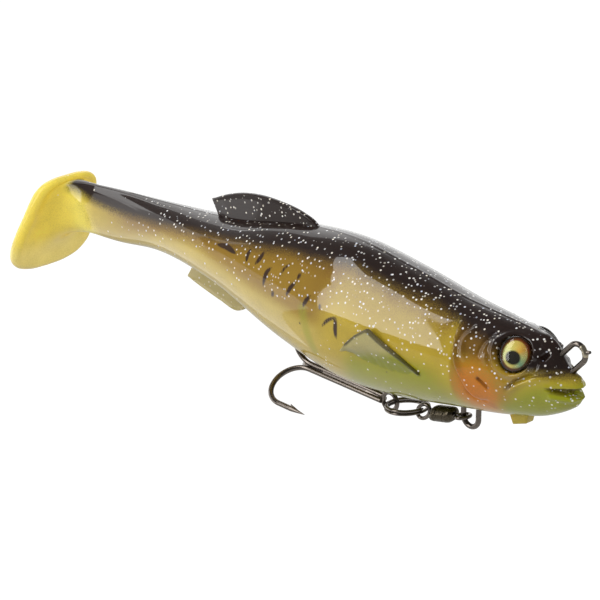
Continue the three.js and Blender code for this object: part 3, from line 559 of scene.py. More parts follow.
def head_relief(points):
    """How far the moulded head stands out of the plain section, mm."""
    behind, side, up = points
    out = np.zeros(len(behind))
    distance, turn, share = near_line(points, MOUTH, 4)
    ends = ease(1, 0.8, share)
    out += 0.3 * ends * bump(distance - 1.35, 0.55)
    distance, turn, share = near_line(points, JAW_CREASE, 5)
    ends = ease(0, 0.12, share) * ease(1, 0.82, share)
    out -= 0.5 * ends * bump(distance, 0.3)
    out += np.where(turn < 0, 0.34, 0.1) * ends * bump(distance - 0.75, 0.6)
    distance, turn, share = near_line(points, GILL_EDGE, 6)
    ends = ease(0, 0.1, share) * ease(1, 0.75, share)
    across = distance * turn
    out += ends * (0.42 * ease(0.15, -0.25, across) * np.exp(np.minimum(across, 0) / 2.2)
                   - 0.3 * ease(-0.25, 0.1, across) * np.exp(-np.maximum(across, 0) / 0.7))
    for line, height, width in ((COVER_ARC, 0.42, 0.5), (CHEEK_ARC, 0.3, 0.35), (CHEEK_PLATE, 0.42, 0.6)):
        distance, turn, share = near_line(points, line, 4)
        ends = ease(0, 0.25, share) * ease(1, 0.7, share)
        groove = 0.22 * bump(distance - 2.1 * width, 0.6 * width) * (turn > 0)
        out += ends * (height * bump(distance, width) - groove)
    distance, turn, share = near_line(points, CHEEK_SLIT, 3)
    out -= 0.55 * ease(0, 0.2, share) * ease(1, 0.8, share) * bump(distance, 0.28)
    distance, turn, share = near_line(points, THROAT_ARC, 3)
    out -= 0.3 * ease(0, 0.2, share) * ease(1, 0.8, share) * bump(distance, 0.35)
    # Nostril: a pit with a raised rim behind it.
    out -= 0.95 * bump(near_line(points, NOSTRIL, 3)[0], 0.5)
    out += 0.6 * bump(near_line(points, NOSTRIL_RIM, 3)[0], 0.5)
    for spot, height in SNOUT_BUMPS:
        out += height * bump(near_line(points, [spot, (spot[0] + 0.2, spot[1], spot[2])], 3)[0], 0.55)
    return out


def off_mouth(behind, up):
    """Height over or under the line between the lips, as a share of half the open mouth."""
    gape = 0.3 + 0.85 * ease(5.4, -0.5, behind)
    return np.abs(up - 1.55 - 0.06 * behind) / gape


def eye_seat(side):
    """Centre of an eye on the flank, and its outward direction."""
    behind, up = EYE
    out = float(flank(behind, up))
    slope_x = float(flank(behind - 0.5, up) - flank(behind + 0.5, up))
    slope_z = float(flank(behind, up + 0.5) - flank(behind, up - 0.5))
    outward = Vector((-slope_x * 0.75, side, -slope_z * 0.9)).normalized()
    return Vector(place([(behind, side * out, up)])[0]), outward


def sink_eye_sockets(piece):
    """Presses a round seat for each eye into the head and rolls a lid up round it."""
    co = points_of(piece)
    for side in (1, -1):
        centre, outward = (np.array(v) for v in eye_seat(side))
        off = (co - centre) / MM
        height = off @ outward
        across = np.linalg.norm(off - height[:, None] * outward, axis=1)
        near = (height > -4) & (height < 5) & (across < 7)
        floor = -1.3
        level = np.where(across < 3.55, floor, height)
        blend = ease(3.8, 3.35, across)
        new = height * (1 - blend) + level * blend
        low_side = ease(11.2, 8.6, co[:, 2] / MM + TIE[1])
        new += (0.5 * bump(across - 4.15, 0.42) * (1 - blend) - 0.22 * bump(across - 5.05, 0.45)) * low_side
        co += np.where(near, (new - height) * MM, 0)[:, None] * outward
    move_points(piece, co)


# Where the sprays meet: mm behind the lips, then height.
DARK_EDGE = [(0, 4.6), (3, 4.6), (6, 4.8), (9, 4.9), (12, 5.8), (16, 7.6), (19, 8.8), (23, 9.6), (27.2, 10.6),
             (34.5, 12.1), (41.2, 12.8), (46.7, 13.6), (51.7, 14.4), (59.2, 14.0), (68.7, 13.4), (78.5, 12.0),
             (89.9, 10.6), (97, 9.9), (104, 9.0), (114, 7.9), (124, 7.0), (132, 6.9), (140, 8.2)]
REAR_EDGE = [(50, 2.5), (61, 3.5), (73, 5), (89, 7.5), (98, 9.0), (106, 8.0), (114, 6.0), (124, 3.5),
             (140, 0)]
BELLY_EDGE = [(0, -4), (28, -3.5), (58, -4.5), (75, -2), (92, 2), (112, 4), (140, 4)]
GREEN_STREAK = [(61.6, 10.8, 4.2), (60.6, 10.7, 0.1), (59.4, 9.5, -4.2)]


def body_masks(points):
    """Where each colour is sprayed, and where shade is painted into the creases and the mouth, from 0 to 1.
    """
    behind, side, up = points
    over = up - smooth_line(DARK_EDGE, behind)
    zone = ease(53, 60, behind + 0.25 * (up - 4))
    upper = ease(-3.2, 0.6, up - smooth_line(REAR_EDGE, behind))
    belly = np.maximum(ease(2.5, -3.5, up - smooth_line(BELLY_EDGE, behind)), zone * (1 - upper))
    patch = ease(54.0, 48.0, behind + 0.35 * (up + 4)) * ease(22.0, 33.0, behind - 0.8 * up)
    green = 0.8 * patch * ease(2.6, -2.6, up - 0.15 * (40 - behind))
    green = np.maximum(green, 0.45 * ease(1.8, 0.4, near_line(points, GREEN_STREAK, 4)[0]))
    # Head: green lips below the jaw crease, orange on the cheek, amber and brown on the gill cover.
    jaw = near_line(points, JAW_CREASE, 9)
    below_crease = np.where(jaw[0] < 900, ease(0.3, -4.2, jaw[0] * jaw[1]), 1.0)
    lips = 0.9 * ease(15.5, 11.5, behind + 0.35 * up) * below_crease * ease(5.9, 4.6, up)
    centre = np.hypot((behind - 19.4) / 4.8, (up + 1.8) / 5.4)
    cheek = 0.9 * ease(1.55, 0.3, centre) * ease(25.4, 24.2, behind)
    cover = ease(25.2, 24.4, behind) * ease(9.0, 13.0, behind + 0.35 * up)
    rear = np.maximum(zone * upper * ease(132, 116, behind), 0.75 * cover * ease(-6, -2, up))
    belly = belly * (1 - 0.8 * cover) * (1 - 0.5 * ease(102, 116, behind))
    brown = ease(25.0, 24.0, behind) * ease(14.0, 17.0, behind) * ease(3.2, 6.6, up)
    distance, turn, share = near_line(points, GILL_EDGE, 4)
    brown = np.maximum(brown, 0.7 * ease(2.0, 0.3, np.abs(distance - 0.5)) * (turn < 0))
    fade = 0.35 * ease(-9.5, -3.5, over) * ease(66, 54, behind) + 0.4 * ease(-3.8, -0.8, over)
    brown = np.maximum(brown, fade * ease(24, 28, behind) * ease(136, 122, behind))
    # Painted shade: dark brown in the creases, the cheek slit and the mouth opening, where shadow falls. Then
    # the dark brush strokes, which are paint.
    crease_shade = 0.7 * ease(1.1, 0.7, off_mouth(behind, up)) * ease(5.6, 4.8, behind)
    for line, width in ((JAW_CREASE, 0.32), (MOUTH, 0.5), (CHEEK_SLIT, 0.3)):
        distance, turn, share = near_line(points, line, 3)
        drawn = ease(1.8 * width, 0.4 * width, distance) * ease(0, 0.15, share) * ease(1, 0.85, share)
        if line is MOUTH:
            drawn = drawn * ease(0.3, -0.4, up - 1.5)
        crease_shade = np.maximum(crease_shade, drawn)
    mark = np.full(len(behind), 9.0)
    for line, width in STROKES:
        distance, turn, share = near_line(points, line, 3)
        taper = np.sqrt(np.sin(math.pi * np.clip(share, 0.02, 0.98)))
        mark = np.minimum(mark, distance - 1.25 * width * taper)
    glitter = 0.72 * (0.12 + 0.88 * ease(-12, -5, over)) * (1 - 0.25 * zone) * (1 - 0.6 * zone * (1 - upper))
    return {
        "dark": ease(-1.9, 1.0, over) * ease(142.5, 140.0, behind),
        "rear": rear, "belly": belly, "green": green, "lips": lips, "cheek": cheek, "brown": brown,
        "crease_shade": crease_shade, "mark": np.clip(0.5 - mark / 0.6, -2, 2),
        "glitter": glitter * (0.04 + 0.96 * ease(134, 95, behind)),
        "yellow": ease(132.5, 139.5, behind + 0.35 * (5 - up)),
        "pale": 0.5 * ease(138, 143, behind) * ease(-3, -9, up), "thin": 0.3 * ease(136, 141, behind),
    }


# Dark brush strokes on the rear flank: points and half width, mm.
STROKES = [
    ([(89.6, 6.9, 9.4), (86.7, 7.2, 9.7), (83.3, 7.9, 9.3)], 0.5),
    ([(79.3, 7.3, 11.2), (79.7, 8.0, 9.9), (79.4, 8.6, 8.7)], 0.4),
    ([(75.3, 7.4, 11.8), (75.8, 8.2, 10.5), (76.8, 8.8, 8.9)], 0.42),
    ([(71.9, 8.9, 9.6), (73.0, 9.3, 8.3), (73.3, 9.6, 7.1), (73.4, 9.9, 5.5)], 0.42),
    ([(70.4, 10.1, 5.6), (70.5, 10.2, 3.9)], 0.34),
    ([(64.2, 9.7, 8.9), (65.5, 10.1, 7.4), (66.6, 10.4, 5.3)], 0.4),
    ([(63.7, 9.0, 10.7), (64.1, 9.6, 9.3)], 0.34),
    ([(67.2, 8.3, 11.5), (68.5, 9.0, 10.1), (69.2, 9.6, 8.5)], 0.25),
    ([(59.8, 10.4, 7.4), (60.8, 10.6, 6.0), (61.6, 10.8, 4.6)], 0.4),
    ([(56.8, 10.6, 6.6), (56.9, 10.8, 5.2)], 0.3),
    ([(56.2, 11.0, 2.0), (54.5, 11.0, 3.8), (52.3, 10.9, 5.1)], 0.3),
    ([(52.3, 10.9, 5.0), (52.4, 11.0, 2.6), (52.2, 11.0, 0.5)], 0.42),
    ([(62.3, 10.7, 1.2), (62.1, 10.7, 1.0)], 0.45),
    ([(39.9, 9.9, -3.0), (39.8, 9.8, -3.2)], 0.4),
]


def build_fore_skin():
    """From the lips to the seam in the tail stem: lofted, then the head moulded, the mouth and
    the hook slot opened, and the colours sprayed."""
    stations = skin_rings()

    def shape(ring, turn):
        behind = stations[ring]
        shrink = np.sqrt(np.clip(1 - np.clip(1 - (behind + LEAD) / CAP, 0, 1) ** 2, 0, 1))
        shrink = np.where(ring == len(stations) - 1, 0, shrink)
        return body_section(behind, turn, shrink)

    skin = sphere_to("body_skin", len(stations) - 1, 250, shape)
    points = measure(skin)
    normals = points_of(skin, "normal")
    relief = head_relief(points)
    # Fine parting line of the mould along the back and belly.
    relief += 0.1 * bump(points[1], 0.22) * ease(8, 16, points[0]) * ease(-0.2, 0.2, points[2])
    move_points(skin, points_of(skin) + normals * (relief * MM)[:, None])
    # Mouth: a wedge that closes about 5 mm behind the lips.
    behind, side, up = measure(skin)
    inside = ease(1.0, 0.62, off_mouth(behind, up)) * ease(5.8, 4.4, behind)
    half = np.maximum(flank(np.maximum(behind, 0), up), 0.5)
    side = side * (1 - inside * np.clip(1.25 / half, 0, 0.6))
    behind = np.where(behind < 2.6, behind + inside * np.clip(2.6 - behind, 0, 2.2), behind)
    move_points(skin, place(np.stack([behind, side, up], axis=1)))
    sink_eye_sockets(skin)
    cut_hook_slot(skin)
    paint(skin, **body_masks(measure(skin)))
    return skin


def cut_hook_slot(skin):
    """Slot in the belly where the treble's upper arm parks, with eased corners."""
    front, rear, top, half = 60.3, 77.5, -1.8, 1.6
    cutter = cube_to("slot_cutter", 1, lambda x, y, z: (
        (front + rear) / 2 - x * (rear - front) / 2, y * half, np.where(z > 0, top, -20.0)))
    edit_all(cutter, bpy.ops.mesh.dissolve_limited,
             lambda: bpy.ops.mesh.bevel(offset=1.1 * MM, segments=5, affect="EDGES"))
    face_out(cutter)
    apply_modifier(skin, "BOOLEAN", operation="DIFFERENCE", object=cutter, solver="EXACT")
    bpy.data.objects.remove(cutter)


# Edge of the paddle from its top to its bottom: half width and height, mm.
PADDLE_EDGE = [(0, 9.9), (3.4, 9.75), (6.2, 9.0), (7.9, 7.5), (8.7, 5.4), (9.6, 1.6), (10.5, -2.4),
               (10.9, -6.0), (10.4, -9.2), (8.4, -11.6), (5.0, -12.9), (0, -13.3)]
PADDLE_THICKNESS = 3.2
PADDLE_TOP, PADDLE_RAKE, PADDLE_MIDDLE = (143.4, 9.9), 0.4, -1.7


def paddle_edge(share, inset):
    """Point of the paddle's edge at a share of the way from top to bottom."""
    half, up = point_along(PADDLE_EDGE, share)
    size = np.hypot(half, up - PADDLE_MIDDLE)
    scale = 1 - inset / np.maximum(size, 1e-6)
    return half * scale, (up - PADDLE_MIDDLE) * scale + PADDLE_MIDDLE


def paddle_plane(up):
    """Where the raked paddle's middle plane is, mm behind the lips, at a height."""
    return PADDLE_TOP[0] + PADDLE_RAKE * (PADDLE_TOP[1] - up)


def build_rear_skin():
    """From the seam through the stem, then out over the front of the paddle, round its rim and
    in over its rear."""
    stem = np.arange(SEAM, 134.01, 0.4)
    face, rim, rear = 60, 18, 36
    count = 1 + len(stem) + face + rim + rear
    leave = stem[-1]
    edge_round = 1.3

    def shape(ring, turn):
        straight = np.clip(ring - 1, 0, len(stem) - 1)
        behind = stem[straight]
        shrink = np.where(ring == 0, 0, 1)
        at, side, up = body_section(behind, turn, shrink)
        out = np.clip((ring - len(stem)) / face, 0, 1)
        over = np.clip((ring - len(stem) - face) / rim, 0, 1) * math.pi
        inner = np.clip((ring - len(stem) - face - rim) / (count - len(stem) - face - rim), 0, 1)
        share = np.abs(turn) / math.pi
        # Rim: half a circle from the front face to the rear face.
        inset = edge_round * (1 - np.sin(over))
        inset = np.where(out < 1, edge_round, inset)
        half, height = paddle_edge(share, inset)
        _, stem_side, stem_up = body_section(leave + 5.0 * out, turn, 1.0)
        spread = out ** 1.75
        y = np.abs(stem_side) * (1 - spread) + half * spread
        z = stem_up * (1 - spread) + height * spread
        middle = paddle_plane(z)
        dish = 0.35 * np.sin(math.pi * np.clip(spread, 0, 1))
        front = middle - PADDLE_THICKNESS / 2 + dish
        depth = 1 - (1 - out) ** 2.6
        x = leave + (front - leave) * depth
        x = np.where(out >= 1, middle - PADDLE_THICKNESS / 2 * np.cos(over), x)
        y = np.where(inner > 0, half * (1 - inner), y)
        z = np.where(inner > 0, height * (1 - inner) + PADDLE_MIDDLE * inner, z)
        hollow = 0.3 * np.sin(math.pi * inner / 2)
        x = np.where(inner > 0, paddle_plane(z) + PADDLE_THICKNESS / 2 - hollow, x)
        flat = ring > len(stem)
        return (np.where(flat, x, at), np.where(flat, np.sign(turn) * y, side), np.where(flat, z, up))

    skin = sphere_to("tail_skin", count, 200, shape)
    # The join of stem and paddle is softened, fully over the paddle and half over the stem's end.
    group = skin.vertex_groups.new(name="paddle")
    behind = measure(skin)[0]
    for weight, chosen in ((1.0, behind > 135), (0.5, (behind > 132.5) & (behind <= 135))):
        group.add(np.flatnonzero(chosen).tolist(), weight, "REPLACE")
    apply_modifier(skin, "SMOOTH", factor=0.5, iterations=6, vertex_group="paddle")
    skin.vertex_groups.clear()
    paint(skin, **body_masks(measure(skin)))
    return skin


def build_chin_tab():
    """Moulded keel tab under the throat, its foot inside the skin."""
    def shape(x, y, z):
        t = (1 - x) / 2
        foot = smooth_line(BELLY, 11.6 + 5.4 * t) + 1.6
        tip = -8.0 - 1.1 * t
        down = (1 - z) / 2
        behind = (11.6 + 5.4 * t) + (0.7 - 2.1 * t) * down
        half = 1.25 * (1 - 0.12 * down)
        return behind, y * half, foot * (1 - down) + tip * down

    tab = cube_to("chin_tab", 8, shape)
    apply_modifier(tab, "BEVEL", width=0.3 * MM, segments=3, limit_method="ANGLE",
                   angle_limit=math.radians(40))
    masks = body_masks(measure(tab))
    masks["lips"], masks["belly"] = 0.25 * masks["lips"], 0 * masks["belly"]
    paint(tab, **masks)
    return tab


class SWIMBAIT_OT_body(bpy.types.Operator):
    """Lofts, moulds and paints the soft body from the lips to the paddle tail"""
    bl_idname = "swimbait.body"
    bl_label = "Soft Body"

    def execute(self, context):
        colours = context.scene.swimbait_paint
        layers = [
            ("belly", colours.belly, 0.5, 1), ("rear", colours.rear, 1.2, 1),
            ("green", colours.green, 0.8, 1), ("brown", linear("#71500e"), 1.0, 1),
            ("cheek", colours.cheek, 0.8, 1), ("lips", colours.green, 0.6, 1),
            ("yellow", colours.tail, 0.6, 1), ("pale", linear("#fbf0b4"), 0.2, 1),
            # crease_shade is painted shade: dark brown in the creases and the mouth.
            ("crease_shade", linear("#3a1c0c"), 0.3, 1), ("dark", colours.back, 1.0, 1),
            ("mark", linear("#38220e"), 0.25, 2.2)]
        skin_paint = painted_plastisol("moulded_plastisol_sprayed", layers, colours.flank)
        fore = build_fore_skin()
        finish_piece(fore, skin_paint, "back_skin", "torso", angle=50)
        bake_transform(fore)
        rear = build_rear_skin()
        finish_piece(rear, skin_paint, "tail_skin", "tail_stem", "tail_paddle", angle=50)
        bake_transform(rear)
        tab = build_chin_tab()
        finish_piece(tab, skin_paint, "back_skin")
        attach(tab, "bait")
        return {"FINISHED"}


# ------------------------------------------------------------------ fins

FIN_ROOT = 2.0      # how deep a fin's root is in the body, mm
FIN_RIM = 0.25      # how far its rounded rim stands out
# Outline of a side fin over its front and its rear: mm behind the lips and up.
SIDE_FIN_FRONT = [(31.9, -0.9), (36.0, 1.3), (39.6, 3.2), (43.2, 5.3)]
SIDE_FIN_REAR = [(43.2, 5.3), (45.9, 3.4), (48.2, 1.2), (49.5, -0.6)]


def fin_rays(share, count, depth):
    """Ripple of moulded fin rays, fading at both ends of the fin."""
    return depth * np.cos(2 * math.pi * count * share) * np.sin(math.pi * np.clip(share, 0, 1)) ** 0.5


def fin_edge(x, y, v, spread):
    """For a fin's lattice, v from its root to its tip: the share along it, how far in from the
    edge a point is, and the push of the rounded rim along the fin and out of its tip."""
    u = (x + 1) / 2
    end, tip = np.abs(x) > 0.999, v > 0.999
    rim = np.where(end | tip, np.sqrt(np.clip(1 - y**2, 0, 1)), 0)
    inset = np.minimum(1 - v, np.minimum(u, 1 - u) * spread)
    return u, inset, rim * np.sign(x) * end, rim * tip


def build_dorsal():
    """Raked triangular fin with a raised rim, rooted in the back."""
    crest = [(66.6, 15.9), (68.5, 17.3), (72, 18.5), (78.6, 19.3), (84.5, 19.25), (90.1, 18.3), (94.8, 16.7),
             (98.0, 15.2)]

    def shape(x, y, z):
        v = (z + 1) / 2
        u, inset, ends, tip = fin_edge(x, y, v, 3)
        crest_s, crest_z = point_along(crest, u)
        root_s = 67.4 + (95.2 - 67.4) * u
        root_z = smooth_line(BACK, root_s) - FIN_ROOT
        half = 0.34 + 0.3 * (1 - v) + 0.2 * bump(inset, 0.06)
        half = half * np.clip(0.35 + 6 * np.minimum(u, 1 - u), 0, 1)
        return (root_s + (crest_s - root_s) * v ** 1.15 + FIN_RIM * ends, y * half,
                root_z + (crest_z - root_z) * v + FIN_RIM * tip)

    return cube_to("dorsal_blade", 44, shape)


def build_anal():
    """Small swept fin under the tail stem."""
    edge = [(87.2, -4.2), (88.6, -5.8), (90.8, -6.9), (96, -6.0), (101.5, -4.6), (105.8, -3.4)]

    def shape(x, y, z):
        v = (1 - z) / 2
        u, inset, ends, tip = fin_edge(x, y, v, 2)
        tip_s, tip_z = point_along(edge, u)
        root_s = 87.4 + (102.6 - 87.4) * u
        root_z = smooth_line(BELLY, root_s) + FIN_ROOT
        half = 0.26 + 0.22 * (1 - v) + 0.16 * bump(inset, 0.07)
        half = half + fin_rays(u + 0.1 * v, 9, 0.012) * ease(0.05, 0.14, inset)
        half = half * np.clip(0.4 + 6 * np.minimum(u, 1 - u), 0, 1)
        return (root_s + (tip_s - root_s) * v ** 1.1 + FIN_RIM * ends, y * half,
                root_z + (tip_z - root_z) * v - FIN_RIM * tip)

    return cube_to("anal_blade", 36, shape)


def build_pectoral(side):
    """Side fin that lies along the flank and stands off towards its upper rear edge."""
    def shape(x, y, z):
        v = (z + 1) / 2
        u, inset, ends, tip = fin_edge(x, y, v, 2.5)
        tip_s, tip_z = point_along(SIDE_FIN_FRONT + SIDE_FIN_REAR[1:], u, smooth=False)
        root_s = 31.8 + (49.4 - 31.8) * u
        root_z = -1.6 + 0.4 * u - 0.9 * np.sin(math.pi * u)
        behind, up = root_s + (tip_s - root_s) * v, root_z + (tip_z - root_z) * v
        half = 0.32 + 0.2 * (1 - v) + 0.14 * bump(inset, 0.07) - 0.1 * bump(inset - 0.2, 0.12)
        half = half + fin_rays(u - 0.15 * v, 8, 0.03) * ease(0.08, 0.2, inset)
        stand = -0.5 + 1.9 * ease(0.0, 0.9, v) * (0.35 + 0.65 * ease(0.1, 0.7, u))
        out = flank(behind, up) + stand + y * half
        return behind + 0.2 * ends, side * out, up + FIN_RIM * tip

    return cube_to("pectoral_blade_left" if side > 0 else "pectoral_blade_right", 40, shape)


def fin_masks(points, kind):
    """Colours of a fin: the dorsal is dark all over, the others are green or straw, and the side fins get a
    painted shade along their upper edges.
    """
    behind, side, up = points
    nothing = np.zeros(len(behind))
    masks = {"dark": nothing, "green": nothing, "glitter": nothing + 0.3, "rear": nothing,
             "thin": nothing + 0.2}
    if kind == "dorsal":
        masks["dark"], masks["glitter"], masks["thin"] = nothing + 1, nothing + 0.6, nothing
    elif kind == "anal":
        masks["dark"] = 0.55 * ease(92, 86, behind) * ease(-7, -3, up)
        masks["rear"] = 0.2 + nothing
    else:
        front, rear = (near_line((behind, nothing, up), [(s, 0, z) for s, z in line], 3)[0]
                       for line in (SIDE_FIN_FRONT, SIDE_FIN_REAR[:3]))
        masks["green"] = 0.05 + 0.8 * ease(2.2, -0.6, up - 0.25 * (41 - behind))
        # Painted shade: dark along the side fin's upper front and rear edges, where it stands off the flank
        # and the gap is in shadow.
        masks["dark"] = np.maximum(0.75 * ease(0.6, 0.25, front), 0.7 * ease(0.55, 0.2, rear))
    return masks


class SWIMBAIT_OT_fins(bpy.types.Operator):
    """Moulds the dorsal, anal and side fins and roots them in the body"""
    bl_idname = "swimbait.fins"
    bl_label = "Fins"

    def execute(self, context):
        colours = context.scene.swimbait_paint
        # The dark layer is the dorsal's own smoke-black and, on the side fins, painted shade along their
        # raised edges.
        layers = [("rear", colours.rear, 0.8, 1), ("green", colours.green, 0.6, 1),
                  ("dark", colours.back, 0.5, 1)]
        fin_paint = painted_plastisol("moulded_fin_plastisol", layers, linear("#c9bd84"), gloss=0.7,
                                      softness=0.05)
        for build, kind, node, start, end in (
                (build_dorsal, "dorsal", "dorsal_fin", (81, 0, 14.3), (82, 0, 17.5)),
                (build_anal, "anal", "anal_fin", (95, 0, -1.6), (95, 0, -4.4)),
                (lambda: build_pectoral(1), "pectoral_left", "pectoral_fin_left",
                 (40, 10, -1.8), (41, 11, 1.6)),
                (lambda: build_pectoral(-1), "pectoral_right", "pectoral_fin_right",
                 (40, -10, -1.8), (41, -11, 1.6))):
            fin = build()
            paint(fin, **fin_masks(measure(fin), kind.split("_")[0]))
            finish_piece(fin, fin_paint, "fin_skin", node, angle=60)
            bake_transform(fin)
        return {"FINISHED"}


# ------------------------------------------------------------------ eyes

FOIL_RADIUS, DOME_RADIUS = 3.4, 3.47


def eye_form(name, side, profile, rings=40, sides=96):
    """A round form stood on an eye's seat: profile(share) gives its radius and height in mm."""
    centre, outward = eye_seat(side)
    upright = Vector((0, 0, 1))
    across = upright.cross(outward).normalized()
    lift = outward.cross(across)

    def shape(ring, turn):
        radius, height = profile(ring / rings)
        point = (np.array(centre)[None, :] / MM + np.outer(radius * np.sin(turn), across)
                 + np.outer(radius * np.cos(turn), lift) + np.outer(height, outward))
        return TIE[0] - point[:, 0], point[:, 1], point[:, 2] + TIE[1]

    return sphere_to(name, rings, sides, shape), centre, outward, lift


def foil_profile(share):
    """Thin printed disc, slightly domed."""
    t = np.clip(share / 0.8, 0, 1)
    front = share <= 0.8
    radius = FOIL_RADIUS * np.where(front, np.sin(t * math.pi / 2), (1 - share) / 0.2)
    height = np.where(front, -1.2 + 0.25 * np.cos(t * math.pi / 2), -1.4)
    return radius, height


def dome_profile(share):
    """Clear dome over the foil."""
    t = np.clip(share / 0.7, 0, 1) * math.pi / 2
    front = share <= 0.7
    radius = DOME_RADIUS * np.where(front, np.sin(t), (1 - share) / 0.3)
    height = np.where(front, -0.8 + 1.5 * np.cos(t), -0.88)
    return radius, height


class SWIMBAIT_OT_eyes(bpy.types.Operator):
    """Seats a holographic foil eye and its clear dome in each socket"""
    bl_idname = "swimbait.eyes"
    bl_label = "Eyes"

    def execute(self, context):
        foil_finish, dome_finish = hologram_foil("hologram_foil_printed"), cast_epoxy("epoxy_cast_clear")
        for side, word in ((1, "left"), (-1, "right")):
            foil, centre, outward, lift = eye_form(f"iris_{word}", side, foil_profile)
            off = (points_of(foil) - np.array(centre)) / MM
            off = off - np.outer(off @ np.array(outward), outward)
            high, wide = off @ np.array(lift), off @ np.array(outward.cross(lift))
            pupil = np.hypot((wide + 0.25 * side) / 1.6, (high + 0.65) / 1.3) - 1
            paint(foil, ring=np.hypot(high, wide), pupil=pupil,
                  sweep=(np.arctan2(high, wide) / (2 * math.pi)) % 1)
            finish_piece(foil, foil_finish, "foil", f"eye_foil_{word}", angle=60)
            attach(foil, "bait")
            dome, *_ = eye_form(f"lens_{word}", side, dome_profile)
            finish_piece(dome, dome_finish, "dome", f"eye_dome_{word}", angle=60)
            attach(dome, "bait")
        return {"FINISHED"}


# ------------------------------------------------------------------ line tie and harness

TIE_TILT = math.radians(47)
HANGER = (26.9, -11.39)     # centre of the belly loop
LOOP_RADIUS = 1.9


def tie_point(across, out):
    """A point near the line tie: mm across its loop and mm out of the nose."""
    x = -TIE[0] - math.sin(TIE_TILT) * across + math.cos(TIE_TILT) * out
    z = TIE[1] + math.cos(TIE_TILT) * across + math.sin(TIE_TILT) * out
    return -x, z


def on_tie_loop(radius, angle, side=0):
    """A point of the line tie's loop, at an angle up from straight ahead."""
    return TIE[0] - radius * math.cos(angle), side, TIE[1] + radius * math.sin(angle)


def rounded(corners, bend=1.9, steps=8):
    """(behind, up) corners with each inner one rounded."""
    corners = [np.array(c, float) for c in corners]
    path = [corners[0]]
    for before, corner, after in zip(corners, corners[1:], corners[2:]):
        run = min(bend, 0.48 * np.linalg.norm(corner - before), 0.48 * np.linalg.norm(after - corner))
        start = corner + (before - corner) * run / np.linalg.norm(before - corner)
        end = corner + (after - corner) * run / np.linalg.norm(after - corner)
        for t in np.linspace(0, 1, steps):
            path.append((1 - t) ** 2 * start + 2 * t * (1 - t) * corner + t**2 * end)
    return path + [corners[-1]]


def half_circle(centre, radius, start, steps=20):
    """Half a turn in the middle plane; start is its first angle and it runs clockwise."""
    angles = start - np.pi * np.arange(steps + 1) / steps
    return [np.array([centre[0] - radius * math.cos(a), centre[1] + radius * math.sin(a)]) for a in angles]


def harness_route():
    """The one wire from the crimp round the line tie, down to the hanger and along the keel."""
    upper = [tie_point(LOOP_RADIUS, 0), tie_point(LOOP_RADIUS, -6.6), (10, 2.7), (16.2, 2.7)]
    lower = [tie_point(-LOOP_RADIUS, 0), tie_point(-LOOP_RADIUS, -5.8), (10, 1.3), (18, 1.3), (25, -3.5),
             (25, HANGER[1])]
    keel = [(28.8, HANGER[1]), (28.8, -4.9), (49, -4.9)]
    route = rounded(upper)[::-1] + half_circle(TIE, LOOP_RADIUS, TIE_TILT + math.pi / 2)[1:-1]
    route += rounded(lower)
    route += half_circle(HANGER, LOOP_RADIUS, 0)[1:-1] + rounded(keel)
    return [(s, 0, z) for s, z in route]


class SWIMBAIT_OT_line_tie(bpy.types.Operator):
    """Bends the harness wire with its line tie and hanger, and puts the solder on the nose loop"""
    bl_idname = "swimbait.line_tie"
    bl_label = "Line Tie"

    def execute(self, context):
        metal = context.scene.swimbait_hardware
        finish = black_nickel("black_nickel_wire", metal.plating)
        wire = wire_to("line_tie_wire", harness_route(), metal.wire, sides=8)
        finish_piece(wire, finish, "black_nickel", "wire_harness", angle=60)
        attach(wire, "bait")
        # Tinned joint on the outer side of the nose loop, with the trimmed wire end in it.
        turns = np.radians(np.linspace(62, -38, 22))
        lumps = [0.85] + [0.9 + 0.12 * math.sin(5 * a) * math.cos(2.3 * a) for a in turns[1:-1]] + [0.85]
        joint = wire_to("tinned_joint", [on_tie_loop(LOOP_RADIUS, a) for a in turns], metal.wire * 1.12,
                        taper=lumps, sides=8)
        nub = wire_to("trimmed_end", [on_tie_loop(r, 0.35, 0.1) for r in (LOOP_RADIUS, 2.6, 3.1)], 0.4 * MM,
                      taper=[1.2, 1, 0.7])
        solder = cast_metal("tin_solder_flowed", "#a89b82", "#ddd4bd", 0.3, 0.5 * MM)
        finish_piece(joint, solder, "black_nickel", angle=60)
        finish_piece(nub, finish, "black_nickel", angle=60)
        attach(joint, "bait")
        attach(nub, "bait")
        return {"FINISHED"}


# ------------------------------------------------------------------ swivel

LINK_TILT = math.radians(11.5)
FRONT_EYE, BARREL_START, BARREL_LENGTH, REAR_EYE, EYE_WIRE = 2.05, 4.15, 6.0, 12.45, 0.4


def on_link(along, side=0.0, lift=0.0):
    """A point of the swivel: mm behind the hanger along it, out to the side and above it."""
    return (HANGER[0] + along * math.cos(LINK_TILT) - lift * math.sin(LINK_TILT), side,
            HANGER[1] - along * math.sin(LINK_TILT) + lift * math.cos(LINK_TILT))


def build_swivel_eye(name, at, radius, face, level):
    """Wire eye with a twisted neck and a head inside the barrel."""
    angles = np.linspace(0, 2 * math.pi, 49)[:-1]
    ring = [on_link(at + radius * math.cos(a), radius * math.sin(a) if level else 0,
                    0 if level else radius * math.sin(a)) for a in angles]
    eye = wire_to(name, ring, EYE_WIRE * MM, closed=True)
    end = BARREL_START if face > 0 else BARREL_START + BARREL_LENGTH
    start = at + face * radius
    neck = []
    for k in range(2):
        twist = [on_link(start + (end + face * 0.9 - start) * t, 0.24 * math.cos(5 * t + k * math.pi),
                         0.24 * math.sin(5 * t + k * math.pi)) for t in np.linspace(0, 1, 14)]
        neck.append(wire_to(f"{name}_neck", twist, 0.27 * MM))
    head = sphere_to(f"{name}_head", 12, 24, lambda ring, turn: np.array(on_link(
        end + face * (0.7 + 0.8 * ring / 12), np.sin(math.pi * ring / 12) ** 0.5 * np.sin(turn),
        np.sin(math.pi * ring / 12) ** 0.5 * np.cos(turn))))
    return join(name, eye, *neck, head)


